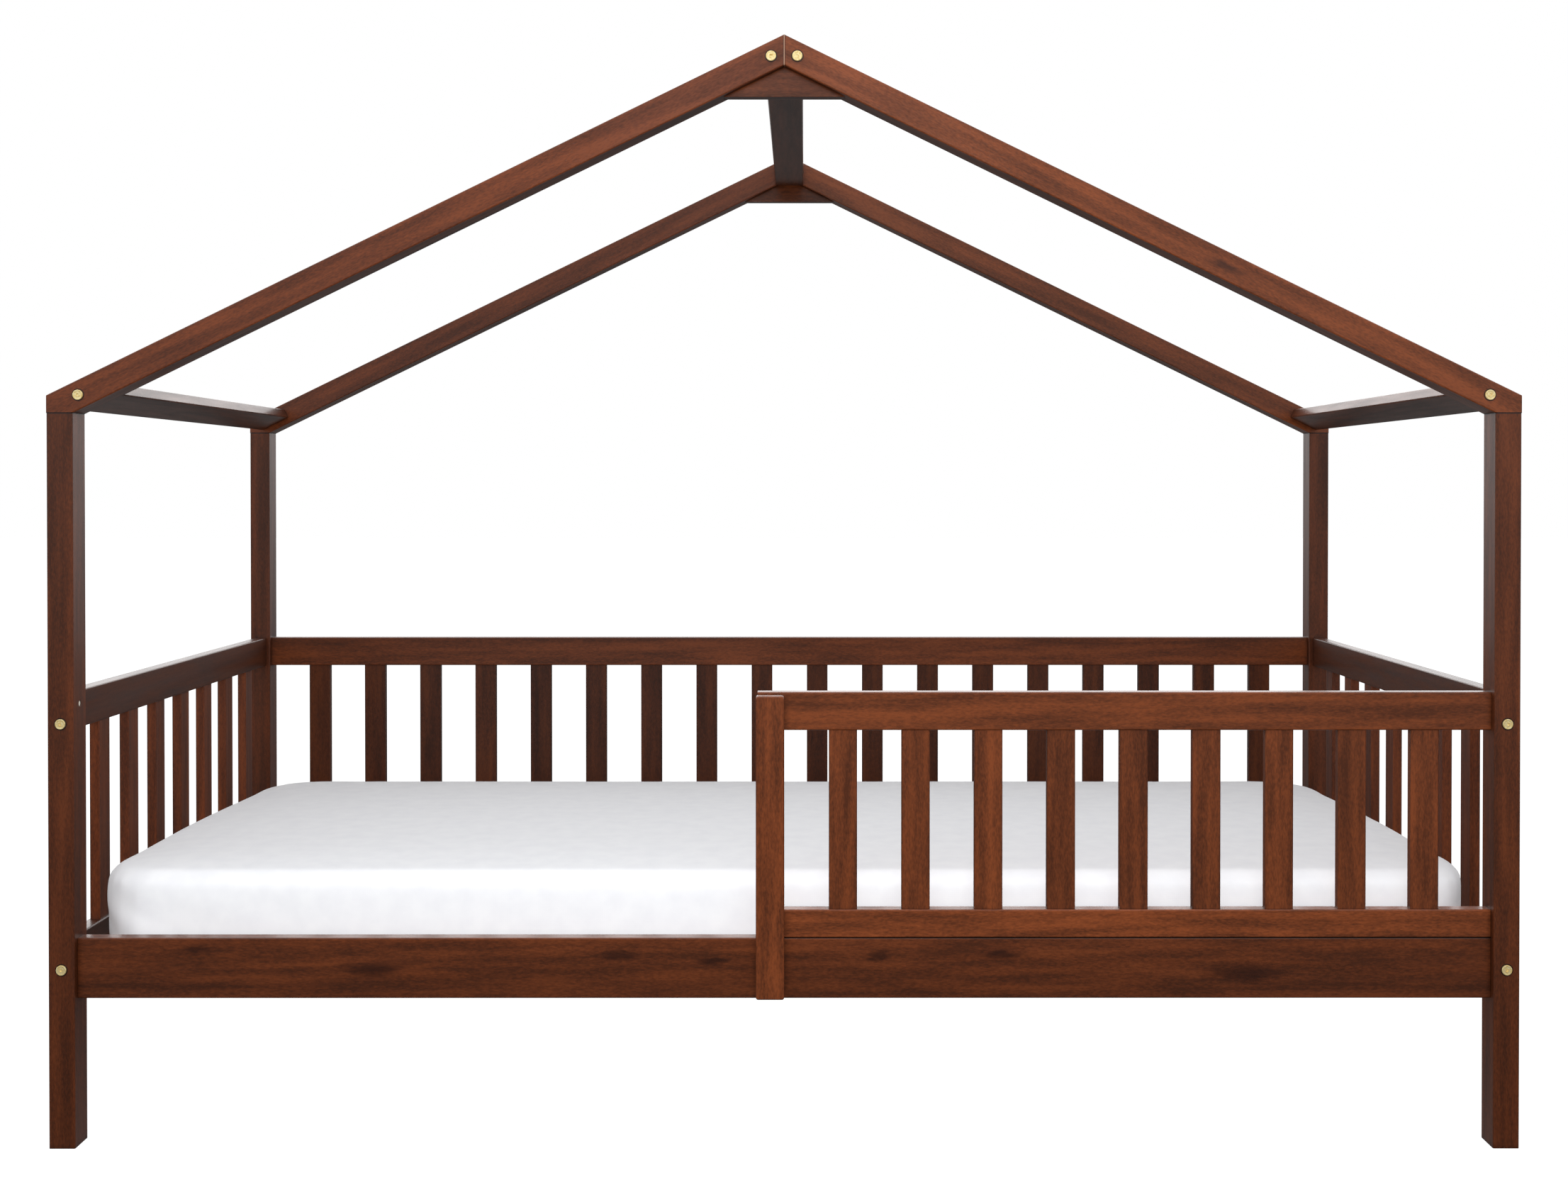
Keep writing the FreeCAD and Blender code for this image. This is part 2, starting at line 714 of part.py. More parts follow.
def make_bolts(label, face, way):
    """Bolts of one roof frame and its posts: round heads on a face, shanks running in the way given."""
    spots = [(side * across, up) for side in (-1, 1) for across, up in (
        (post_middle, end_bolt_z),
        (post_middle, upper_end_bolt_z),
        (eave_x, eave_z),
        (size.apex_bolt_offset, apex_bolt_z),
    )]
    reach = size.post_depth + size.bolt_grip
    body = new_body(label, (measure(0), measure(0), measure(0)))
    head_start = face - size.head_height if way > 0 else face
    grow(body, "heads", "Y", head_start, size.head_height, spots, size.head_diameter)
    grow(body, "shanks", "Y", face if way > 0 else face - reach, reach, spots, size.bolt_diameter)
    socket_start = head_start if way > 0 else face + size.head_height - size.socket_depth
    sketch = new_sketch(body, "sockets", "Y", socket_start)
    draw_hexagons(sketch, spots, size.socket_width)
    add_feature(body, "Pocket", "sockets", sketch, "Y", size.socket_depth)


# ---------------------------------------------------------------- mattress


def mattress_section(length, width, corner, waist, height):
    """Outline of the mattress at one height: four corner arcs, and four sides drawn in at their middles."""
    points = [
        (-length / 2 + corner, -width / 2), (0, -width / 2 + waist), (length / 2 - corner, -width / 2),
        (length / 2, -width / 2 + corner), (length / 2 - waist, 0), (length / 2, width / 2 - corner),
        (length / 2 - corner, width / 2), (0, width / 2 - waist), (-length / 2 + corner, width / 2),
        (-length / 2, width / 2 - corner), (-length / 2 + waist, 0), (-length / 2, -width / 2 + corner),
    ]
    spots = [FreeCAD.Vector(x, y, height) for x, y in points]
    middle = corner * (1 - math.sqrt(0.5))
    turns = [
        (length / 2 - middle, -width / 2 + middle), (length / 2 - middle, width / 2 - middle),
        (-length / 2 + middle, width / 2 - middle), (-length / 2 + middle, -width / 2 + middle),
    ]
    edges = []
    for side, turn in enumerate(turns):
        first, belly, last = spots[3 * side:3 * side + 3]
        following = spots[(3 * side + 3) % len(spots)]
        edges.append(Part.Arc(first, belly, last).toShape())
        edges.append(Part.Arc(last, FreeCAD.Vector(*turn, height), following).toShape())
    return Part.Wire(edges)


def make_mattress():
    """A soft block: rounded top and bottom edges, sides drawn in between its corners and a crowned top."""
    length, width = size.mattress_length.number, size.mattress_width.number
    thickness, edge = size.mattress_thickness.number, size.mattress_edge.number
    corner, waist = size.mattress_corner.number, size.mattress_waist.number
    crown = size.mattress_crown.number
    quarter_turns = [math.radians(angle) for angle in (0, 45, 90)]
    lower = [(edge * (1 - math.sin(turn)), edge * (1 - math.cos(turn))) for turn in quarter_turns]
    levels = [(inset, height) for inset, height in lower]
    levels += [(inset, thickness - height) for inset, height in reversed(lower)]
    levels.append((edge + width / 6, thickness + crown))
    sections = [
        mattress_section(length - 2 * inset, width - 2 * inset, corner, waist, height)
        for inset, height in levels
    ]
    mattress = doc.addObject("Part::Feature", "mattress")
    mattress.Label = "mattress"
    mattress.Shape = Part.makeLoft(sections, True, True)
    middle_y = ((front_rail_y + back_rail_y + size.rail_thickness) / 2).number
    height = (base_top + size.mattress_lift).number
    mattress.Placement = FreeCAD.Placement(FreeCAD.Vector(0, middle_y, height), FreeCAD.Rotation())
    nodes.append(mattress)


# ---------------------------------------------------------------- the whole bed


def make_bed():
    for depth, face in (("front", front_face), ("back", back_inner)):
        for name, side in (("left", -1), ("right", 1)):
            make_post(f"post_{depth}_{name}", side < 0, depth == "front")
            make_rafter(f"rafter_{depth}_{name}", side, face)
        make_gusset(f"gusset_{depth}", face)
    make_ridge_beam()
    make_eave_beam("eave_beam_left", -1)
    make_eave_beam("eave_beam_right", 1)
    make_side_rail("side_rail_front", front_rail_y)
    make_back_panel()
    make_end_panel("left", left_rail_x)
    make_end_panel("right", right_rail_x)
    make_guard()
    make_pin_and_plug()
    make_ledgers()
    make_base_slats()
    make_bolts("front_bolts", front_face, 1)
    make_bolts("back_bolts", back_face, -1)
    make_mattress()


def check_and_export():
    """Stops on anything that failed or isn't a valid solid, and writes one STEP file per node."""
    doc.recompute()
    for item in doc.Objects:
        if "Invalid" in item.State or "Error" in item.State:
            raise RuntimeError(f"{item.Name} failed: {item.State}")
    for node in nodes:
        shape = node.Shape
        if shape.isNull() or not shape.isValid() or not shape.Solids:
            raise RuntimeError(f"{node.Label} has no valid solid")
    os.makedirs(OUTPUT_FOLDER, exist_ok=True)
    for node in nodes:
        node.Shape.exportStep(os.path.join(OUTPUT_FOLDER, f"{node.Label}.step"))
        print(f"{node.Label}: {len(node.Shape.Solids)} solids, {node.Shape.Volume / 1000:.1f} cm3")
    print(f"{len(nodes)} nodes")


make_bed()
check_and_export()
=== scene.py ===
"""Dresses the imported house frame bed: lacquered timber, brass bolts, screws and a sheeted mattress."""

import json
import logging
import math
from dataclasses import dataclass, field
from enum import Enum
from functools import partial
from typing import Any, Callable, Iterable

import bpy
import numpy as np
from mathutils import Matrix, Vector

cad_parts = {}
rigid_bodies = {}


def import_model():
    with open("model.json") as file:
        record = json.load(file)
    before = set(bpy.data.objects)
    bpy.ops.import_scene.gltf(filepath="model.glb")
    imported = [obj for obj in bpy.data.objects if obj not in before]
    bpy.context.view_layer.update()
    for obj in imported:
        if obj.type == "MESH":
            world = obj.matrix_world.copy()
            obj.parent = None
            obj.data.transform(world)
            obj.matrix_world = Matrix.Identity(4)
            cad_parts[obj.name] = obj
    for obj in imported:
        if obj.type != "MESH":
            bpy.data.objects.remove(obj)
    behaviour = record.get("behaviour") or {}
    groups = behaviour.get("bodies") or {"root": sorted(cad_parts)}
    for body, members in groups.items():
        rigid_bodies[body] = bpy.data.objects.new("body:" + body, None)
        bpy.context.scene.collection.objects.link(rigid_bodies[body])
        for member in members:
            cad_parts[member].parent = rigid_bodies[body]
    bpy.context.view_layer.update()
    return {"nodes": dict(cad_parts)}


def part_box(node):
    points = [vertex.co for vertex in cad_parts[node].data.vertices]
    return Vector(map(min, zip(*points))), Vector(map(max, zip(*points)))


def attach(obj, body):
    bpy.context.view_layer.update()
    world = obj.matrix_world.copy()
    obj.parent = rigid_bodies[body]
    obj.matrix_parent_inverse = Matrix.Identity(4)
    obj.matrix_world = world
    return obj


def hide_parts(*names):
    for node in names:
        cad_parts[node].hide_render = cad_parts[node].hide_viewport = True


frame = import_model()
LOG = logging.getLogger("bed")
MM = 0.001
ROOF_PITCH = math.radians(26)
PHOTO_WIDTH = 2212
PHOTO_HEIGHT = 1671
WAVE_STEP = 0.314    # the wave texture repeats every WAVE_STEP / its scale


# ---------------------------------------------------------------- shared tools


def linear(colour: str) -> tuple[float, float, float, float]:
    """Turns an sRGB colour into the linear one that a shader takes.

    Args:
        colour: The colour as "#RRGGBB".

    Returns:
        Red, green, blue and an alpha of 1.
    """
    parts = [int(colour[i:i + 2], 16) / 255 for i in (1, 3, 5)]
    r, g, b = (p / 12.92 if p <= 0.04045 else ((p + 0.055) / 1.055) ** 2.4 for p in parts)
    return r, g, b, 1.0


def feed(tree: bpy.types.NodeTree, node: bpy.types.Node, inputs: dict[str | int, Any]) -> None:
    """Gives a node's sockets their values and links.

    Args:
        tree: The node tree that holds the node.
        node: The node.
        inputs: Socket names or numbers, each with a value or the socket that feeds it.
    """
    for socket, value in inputs.items():
        if isinstance(value, bpy.types.NodeSocket):
            tree.links.new(value, node.inputs[socket])
        else:
            node.inputs[socket].default_value = value


def add_node(
    tree: bpy.types.NodeTree,
    kind: str,
    inputs: dict[str | int, Any] | None = None,
    stops: Iterable[tuple[float, Any]] = (),
    **settings: Any,
) -> bpy.types.Node:
    """Adds one node with its settings, values and links.

    Args:
        tree: The node tree that gets the node.
        kind: Blender's name of the node type.
        inputs: Socket names or numbers, each with a value or the socket that feeds it.
        stops: Places and linear colours of a colour ramp's stops.
        settings: The node's own properties.

    Returns:
        The new node.
    """
    node = tree.nodes.new(kind)
    for name, value in settings.items():
        setattr(node, name, value)
    feed(tree, node, inputs or {})
    for number, (place, colour) in enumerate(stops):
        ramp = node.color_ramp.elements
        stop = ramp[number] if number < len(ramp) else ramp.new(place)
        stop.position, stop.color = place, colour
    return node


def deselect_all() -> None:
    """Leaves nothing selected, CAD nodes included."""
    for other in bpy.context.view_layer.objects:
        other.select_set(False)


def activate(piece: bpy.types.Object) -> None:
    """Selects one object alone and makes it the active one.

    Args:
        piece: The object.
    """
    deselect_all()
    piece.select_set(True)
    bpy.context.view_layer.objects.active = piece


class Element(Enum):
    """What is picked on a mesh."""

    EDGE = "EDGE"
    FACE = "FACE"


def edit(piece: bpy.types.Object) -> None:
    """Opens a piece in edit mode."""
    activate(piece)
    bpy.ops.object.mode_set(mode="EDIT")


def pick(piece: bpy.types.Object, element: Element, test: Callable[[Any], bool]) -> None:
    """Selects only the faces or edges that pass a test, and stays in edit mode.

    Args:
        piece: The mesh object, in edit mode.
        element: Whether edges or faces are picked.
        test: Takes a polygon, or an edge's two corners.
    """
    bpy.ops.mesh.select_mode(type=element.value)
    bpy.ops.mesh.select_all(action="DESELECT")
    bpy.ops.object.mode_set(mode="OBJECT")
    mesh = piece.data
    if element is Element.FACE:
        for face in mesh.polygons:
            face.select = test(face)
    else:
        for line in mesh.edges:
            line.select = test([mesh.vertices[i].co for i in line.vertices])
    bpy.ops.object.mode_set(mode="EDIT")


def close_edit() -> None:
    """Goes back to object mode."""
    bpy.ops.object.mode_set(mode="OBJECT")


def settle(piece: bpy.types.Object) -> None:
    """Puts a piece's place, turn and size into its mesh, so that its object sits at the origin."""
    activate(piece)
    bpy.ops.object.transform_apply(location=True, rotation=True, scale=True)


def apply_modifier(piece: bpy.types.Object, kind: str, **settings: Any) -> None:
    """Adds a modifier to a piece and applies it.

    Args:
        piece: The mesh object.
        kind: Blender's name of the modifier type.
        settings: The modifier's properties.
    """
    activate(piece)
    modifier = piece.modifiers.new(kind.title(), kind)
    for name, value in settings.items():
        setattr(modifier, name, value)
    bpy.ops.object.modifier_apply(modifier=modifier.name)


def copies(model: bpy.types.Object, places: list[Vector], name: str) -> bpy.types.Object:
    """Copies a model to several places, each with its own mesh, and joins them into one piece.

    Args:
        model: The object to copy, modelled around the origin. It is removed.
        places: Where the copies go.
        name: The joined piece's name.

    Returns:
        The joined piece, at the origin.
    """
    made = []
    for place in places:
        one = model.copy()
        one.data = model.data.copy()
        one.location = place
        bpy.context.scene.collection.objects.link(one)
        made.append(one)
    bpy.data.objects.remove(model)
    deselect_all()
    for one in made:
        one.select_set(True)
    bpy.context.view_layer.objects.active = made[0]
    bpy.ops.object.join()
    piece = bpy.context.view_layer.objects.active
    piece.name = name
    piece.data.name = name
    settle(piece)
    return piece


def dress(piece: bpy.types.Object, material: bpy.types.Material) -> None:
    """Gives a piece one material on all its faces."""
    piece.data.materials.clear()
    piece.data.materials.append(material)


def corners(piece: bpy.types.Object) -> np.ndarray:
    """Reads the places of a mesh's corners.

    Args:
        piece: The mesh object.

    Returns:
        One row of x, y and z for each corner.
    """
    places = np.empty(len(piece.data.vertices) * 3, np.float64)
    piece.data.vertices.foreach_get("co", places)
    return places.reshape(-1, 3)


def set_corners(piece: bpy.types.Object, places: np.ndarray) -> None:
    """Writes the places of a mesh's corners."""
    piece.data.vertices.foreach_set("co", places.astype(np.float32).ravel())
    piece.data.update()


# ---------------------------------------------------------------- finishes


@dataclass(frozen=True)
class Knot:
    """A knot's place, in the grain's own turned coordinates, and its size."""

    place: tuple[float, float, float]
    length: float
    width: float


class Grain(Enum):
    """Which way a board's grain runs, as the turn that lays it along the pattern's x."""

    LENGTH = (0.0, 0.0, 0.0)
    DEPTH = (0.0, 0.0, -math.pi / 2)
    UPRIGHT = (0.0, math.pi / 2, 0.0)
    LEFT_SLOPE = (0.0, ROOF_PITCH, 0.0)
    RIGHT_SLOPE = (0.0, -ROOF_PITCH, 0.0)


@dataclass(frozen=True)
class Finish:
    """A surface finish that becomes one material."""

    name: str

    def make(self) -> bpy.types.Material:
        """Builds the material.

        Returns:
            The material, with the finish's nodes fed into its shader.
        """
        material = bpy.data.materials.new(self.name)
        material.use_nodes = True
        tree = material.node_tree
        place = add_node(tree, "ShaderNodeTexCoord").outputs["Object"]
        feed(tree, tree.nodes["Principled BSDF"], self.surface(tree, place))
        return material

    def surface(self, tree: bpy.types.NodeTree, place: bpy.types.NodeSocket) -> dict[str, Any]:
        """Adds the finish's own nodes. Each kind of finish gives its own.

        Args:
            tree: The material's node tree.
            place: The object coordinates.

        Returns:
            The shader's inputs, each with a value or the socket that feeds it.
        """
        raise NotImplementedError


@dataclass(frozen=True)
class LacqueredPine(Finish):
    """Planed pine, stained dark walnut and sprayed with satin lacquer.

    The eye gets a deep red-brown with fine dark pores along the grain, broad streaks where the soft
    summer wood took more stain, black-brown knots, and a soft sheen that turns pale at a flat angle.
    """

    grain: Grain = Grain.LENGTH
    dark: str = "#2E140D"
    middle: str = "#4E2418"
    light: str = "#6A3623"
    knots: tuple[Knot, ...] = ()
    seam: tuple[float, float] | None = None
    pore_width: float = 2.0 * MM       # real pores are 0.3 mm; drawn coarse enough to show
    pore_length: float = 6.5 * MM
    streak_width: float = 13 * MM
    streak_length: float = 150 * MM
    figure_width: float = 50 * MM
    figure_length: float = 900 * MM
    board_width: float = 90 * MM
    board_length: float = 4.0          # longer than any board, so its tone changes little along it
    pore_share: float = 0.36
    streak_share: float = 0.54
    ring_share: float = 0.10
    ring_count: float = 7.0
    stain_range: tuple[float, float, float] = (0.36, 0.50, 0.64)
    board_spread: float = 0.12
    edge_radius: float = 1.6 * MM
    # How far and how deep the painted shade in the corners reaches.
    painted_shade_reach: float = 14 * MM
    crease_shade: float = 0.30
    seam_width: float = 2.4 * MM
    # The painted shadow line along the roof's mitre, and the thinner painted highlight in its middle.
    mitre_width: float = 1.2 * MM
    mitre_shadow: float = 1.3 * 1.2 * MM
    mitre_height: float = 1.4
    # Where the bolt heads stand, in millimetres, and the painted shadow ring round each head.
    bolt_places: tuple[tuple[float, float], ...] = (
        (1021.5, 253), (1021.5, 601), (995, 1065.6), (18.5, 1541.9))
    bolt_shadow_ring: tuple[float, float] = (7.3 * MM, 9.0 * MM)
    knot_colour: str = "#1C0803"
    knot_strength: float = 0.72
    knot_pull: float = 0.2
    knot_reach: float = 100 * MM
    ragged_scale: tuple[float, float, float] = (28, 90, 90)
    ragged_reach: tuple[float, float, float] = (50 * MM, 0.0, 18 * MM)
    # The dark seam and the painted shadows share this colour.
    joint_and_shadow_colour: str = "#140805"
    joint_and_shadow_strength: float = 0.8
    # The colour of the painted highlight along the mitre.
    mitre_highlight_colour: str = "#B08A72"

    def surface(self, tree: bpy.types.NodeTree, place: bpy.types.NodeSocket) -> dict[str, Any]:
        """Lays the stain, knots, joints, painted corner shade, painted joint shadows and highlight, and
        lacquer over the grain.

        Args:
            tree: The material's node tree.
            place: The object coordinates.

        Returns:
            The shader's inputs.
        """
        add = partial(add_node, tree)
        run = add("ShaderNodeMapping", {"Vector": place, "Rotation": self.grain.value}).outputs[0]
        pores = self.streaks_of(tree, run, self.pore_length, self.pore_width, 1.0)
        streaks = self.streaks_of(tree, run, self.streak_length, self.streak_width, 3.0)
        figure = self.streaks_of(tree, run, self.figure_length, self.figure_width, 1.0, 0.4)
        board = self.streaks_of(tree, run, self.board_length, self.board_width, 0.0)
        near = self.knot_nearness(tree, run)
        if near is not None:
            figure = add("ShaderNodeMath", {0: near, 1: self.knot_pull, 2: figure},
                         operation="MULTIPLY_ADD").outputs[0]
        rings = add("ShaderNodeMath", {0: figure, 1: self.ring_count}, operation="MULTIPLY").outputs[0]
        rings = add("ShaderNodeMath", {0: rings, 1: 1.0}, operation="PINGPONG").outputs[0]
        shade = add("ShaderNodeMath", {0: rings, 1: self.ring_share}, operation="MULTIPLY").outputs[0]
        for grain, share in ((streaks, self.streak_share), (pores, self.pore_share)):
            shade = add("ShaderNodeMath", {0: grain, 1: share, 2: shade}, operation="MULTIPLY_ADD").outputs[0]
        low, middle, high = self.stain_range
        colour = add("ShaderNodeValToRGB", {"Fac": shade},
                     stops=[(low, linear(self.dark)), (high, linear(self.light)),
                            (middle, linear(self.middle))]).outputs["Color"]
        tone = add("ShaderNodeMapRange",
                   {"Value": board, "From Min": 0.3, "From Max": 0.7, "To Min": 1 - self.board_spread,
                    "To Max": 1 + self.board_spread}).outputs[0]
        colour = add("ShaderNodeHueSaturation", {"Color": colour, "Value": tone}).outputs[0]
        if near is not None:
            core = add("ShaderNodeMapRange", {"Value": near, "To Max": self.knot_strength}).outputs[0]
            colour = add("ShaderNodeMix", {0: core, 6: colour, 7: linear(self.knot_colour)},
                         data_type="RGBA").outputs[2]
        # Seamed boards also get the painted shadow rings round the bolts and the painted mitre shadow and
        # highlight.
        if self.seam:
            colour = self.draw_joints_shadows_and_highlight(tree, place, colour)
        # Painted shade: an ambient-occlusion darkening in the corners and creases, which reads as dark lines
        # at each joint.
        painted_corner_shade = add("ShaderNodeAmbientOcclusion", {"Distance": self.painted_shade_reach}, samples=12).outputs["AO"]
        painted_corner_shade = add("ShaderNodeMapRange",
                     {"Value": painted_corner_shade, "From Min": 0.25, "From Max": 0.85,
                      "To Min": self.crease_shade}).outputs[0]
        colour = add("ShaderNodeMix", {0: 1.0, 6: colour, 7: painted_corner_shade},
                     data_type="RGBA", blend_type="MULTIPLY").outputs[2]
        rough = add("ShaderNodeMapRange",
                    {"Value": streaks, "From Min": 0.3, "From Max": 0.7, "To Min": 0.48,
                     "To Max": 0.38}).outputs[0]
        eased = add("ShaderNodeBevel", {"Radius": self.edge_radius}, samples=4).outputs[0]
        relief = add("ShaderNodeMath", {0: pores, 1: 0.5, 2: streaks}, operation="MULTIPLY_ADD").outputs[0]
        normal = add("ShaderNodeBump", {"Height": relief, "Strength": 0.3, "Distance": 0.2 * MM,
                                        "Normal": eased}).outputs[0]
        return {"Base Color": colour, "Roughness": rough, "Normal": normal, "IOR": 1.48,
                "Specular IOR Level": 0.4, "Coat Weight": 0.3, "Coat Roughness": 0.2}

    def streaks_of(self, tree: bpy.types.NodeTree, run: bpy.types.NodeSocket, length: float, width: float,
                   detail: float, warp: float = 0.0) -> bpy.types.NodeSocket:
        """Adds a pattern of streaks along the grain.

        Args:
            tree: The material's node tree.
            run: The coordinates that run along the grain.
            length: How long a streak is along the board.
            width: How wide a streak is across the board.
            detail: How many finer steps the pattern has.
            warp: How far the pattern is stirred.

        Returns:
            The pattern's socket.
        """
        scaled = add_node(tree, "ShaderNodeMapping",
                          {"Vector": run, "Scale": (1 / length, 1 / width, 1 / width)}).outputs[0]
        return add_node(tree, "ShaderNodeTexNoise",
                        {"Vector": scaled, "Scale": 1.0, "Detail": detail, "Roughness": 0.55,
                         "Distortion": warp}).outputs["Fac"]

    def knot_nearness(self, tree: bpy.types.NodeTree, run: bpy.types.NodeSocket) -> Any:
        """Adds the field that is 1 in a knot and 0 away from it, with a ragged edge.

        Args:
            tree: The material's node tree.
            run: The coordinates that run along the grain.

        Returns:
            The field's socket, or None for a board with no knots.
        """
        if not self.knots:
            return None
        add = partial(add_node, tree)
        ragged = add("ShaderNodeMapping", {"Vector": run, "Scale": self.ragged_scale}).outputs[0]
        ragged = add("ShaderNodeTexNoise",
                     {"Vector": ragged, "Scale": 1.0, "Detail": 3.0, "Roughness": 0.6}).outputs["Color"]
        half = [-reach / 2 for reach in self.ragged_reach]
        ragged = add("ShaderNodeVectorMath", {0: ragged, 1: self.ragged_reach, 2: half},
                     operation="MULTIPLY_ADD").outputs[0]
        moved = add("ShaderNodeVectorMath", {0: run, 1: ragged}, operation="ADD").outputs[0]
        near = None
        for knot in self.knots:
            apart = add("ShaderNodeVectorMath", {0: moved, 1: knot.place}, operation="SUBTRACT").outputs[0]
            size = (2 / knot.length, 1 / self.knot_reach, 2 / knot.width)
            apart = add("ShaderNodeVectorMath", {0: apart, 1: size}, operation="MULTIPLY").outputs[0]
            apart = add("ShaderNodeVectorMath", {0: apart}, operation="LENGTH").outputs["Value"]
            one = add("ShaderNodeMapRange", {"Value": apart, "From Min": 1.25, "From Max": 0.25},
                      interpolation_type="SMOOTHSTEP").outputs[0]
            near = one if near is None else add(
                "ShaderNodeMath", {0: near, 1: one}, operation="MAXIMUM").outputs[0]
        return near

    def draw_joints_shadows_and_highlight(self, tree: bpy.types.NodeTree, place: bpy.types.NodeSocket,
                    colour: bpy.types.NodeSocket) -> bpy.types.NodeSocket:
        """Draws the dark seam between two boards, a painted shadow and a painted highlight along the roof's
        mitre, and painted shadow rings round the bolts.

        Args:
            tree: The material's node tree.
            place: The object coordinates.
            colour: The wood's colour so far.

        Returns:
            The colour with the seam, the painted shadows and the painted highlight drawn in.
        """
        add = partial(add_node, tree)
        x, _, z = add("ShaderNodeSeparateXYZ", {0: place}).outputs
        across = add("ShaderNodeMath", {0: x}, operation="ABSOLUTE").outputs[0]
        height, start = self.seam
        dark = add("ShaderNodeMath", {0: z, 1: height * MM, 2: self.seam_width / 2},
                   operation="COMPARE").outputs[0]
        reached = add("ShaderNodeMath", {0: x, 1: start * MM}, operation="GREATER_THAN").outputs[0]
        dark = add("ShaderNodeMath", {0: dark, 1: reached}, operation="MULTIPLY").outputs[0]
        # Painted shadow rings round the bolt heads.
        inner, outer = self.bolt_shadow_ring
        flat = add("ShaderNodeCombineXYZ", {0: across, 2: z}).outputs[0]
        for bolt_x, bolt_z in self.bolt_places:
            away = add("ShaderNodeVectorMath", {0: flat, 1: (bolt_x * MM, 0, bolt_z * MM)},
                       operation="DISTANCE").outputs["Value"]
            bolt_shadow = add("ShaderNodeMath", {0: away, 1: (inner + outer) / 2, 2: (outer - inner) / 2},
                       operation="COMPARE").outputs[0]
            dark = add("ShaderNodeMath", {0: dark, 1: bolt_shadow}, operation="MAXIMUM").outputs[0]
        # Along the roof's mitre: a painted shadow line, and a painted highlight in its middle.
        roof = add("ShaderNodeMath", {0: z, 1: self.mitre_height}, operation="GREATER_THAN").outputs[0]
        mitre = []
        for reach in (self.mitre_shadow, self.mitre_width / 2):
            line = add("ShaderNodeMath", {0: across, 1: reach}, operation="LESS_THAN").outputs[0]
            mitre.append(add("ShaderNodeMath", {0: roof, 1: line}, operation="MULTIPLY").outputs[0])
        shadow, mitre_highlight = mitre
        dark = add("ShaderNodeMath", {0: dark, 1: shadow}, operation="MAXIMUM").outputs[0]
        # The dark seam, the painted shadow rings and the painted mitre shadow take one colour.
        dark = add("ShaderNodeMath", {0: dark, 1: self.joint_and_shadow_strength}, operation="MULTIPLY").outputs[0]
        for share, tint in ((dark, self.joint_and_shadow_colour), (mitre_highlight, self.mitre_highlight_colour)):
            colour = add("ShaderNodeMix", {0: share, 6: colour, 7: linear(tint)},
                         data_type="RGBA").outputs[2]
        return colour


@dataclass(frozen=True)
class PlanedPine(Finish):
    """Pine as it leaves the planer, with no stain or lacquer.

    The eye gets a pale straw colour with warmer growth lines and a dry, matt surface.
    """

    grain: Grain = Grain.LENGTH
    pale: str = "#E6CFA4"
    straw: str = "#DDBE8C"
    warm: str = "#C79A63"
    line_width: float = 5 * MM
    line_length: float = 500 * MM
    lines_per_band: float = 6.0
    ring_count: float = 14.0
    fibre_share: float = 0.5
    fibre_width: float = 1.5 * MM
    fibre_length: float = 40 * MM
    edge_radius: float = 1.2 * MM

    def surface(self, tree: bpy.types.NodeTree, place: bpy.types.NodeSocket) -> dict[str, Any]:
        """Draws the growth lines and fibres.

        Args:
            tree: The material's node tree.
            place: The object coordinates.

        Returns:
            The shader's inputs.
        """
        add = partial(add_node, tree)
        run = add("ShaderNodeMapping", {"Vector": place, "Rotation": self.grain.value}).outputs[0]
        band = 1 / (self.lines_per_band * self.line_width)
        lines = add("ShaderNodeMapping",
                    {"Vector": run, "Scale": (1 / self.line_length, band, band)}).outputs[0]
        lines = add("ShaderNodeTexNoise",
                    {"Vector": lines, "Scale": 1.0, "Detail": 1.0, "Distortion": 0.3}).outputs["Fac"]
        rings = add("ShaderNodeMath", {0: lines, 1: self.ring_count}, operation="MULTIPLY").outputs[0]
        rings = add("ShaderNodeMath", {0: rings, 1: 1.0}, operation="PINGPONG").outputs[0]
        thread = 1 / self.fibre_width
        fibre = add("ShaderNodeMapping",
                    {"Vector": run, "Scale": (1 / self.fibre_length, thread, thread)}).outputs[0]
        fibre = add("ShaderNodeTexNoise", {"Vector": fibre, "Scale": 1.0}).outputs["Fac"]
        shade = add("ShaderNodeMath", {0: fibre, 1: self.fibre_share, 2: rings},
                    operation="MULTIPLY_ADD").outputs[0]
        colour = add("ShaderNodeValToRGB", {"Fac": shade},
                     stops=[(0.15, linear(self.pale)), (1.0, linear(self.warm)),
                            (0.7, linear(self.straw))]).outputs["Color"]
        eased = add("ShaderNodeBevel", {"Radius": self.edge_radius}, samples=4).outputs[0]
        normal = add("ShaderNodeBump", {"Height": fibre, "Strength": 0.3, "Distance": 0.2 * MM,
                                        "Normal": eased}).outputs[0]
        return {"Base Color": colour, "Normal": normal, "Roughness": 0.72}


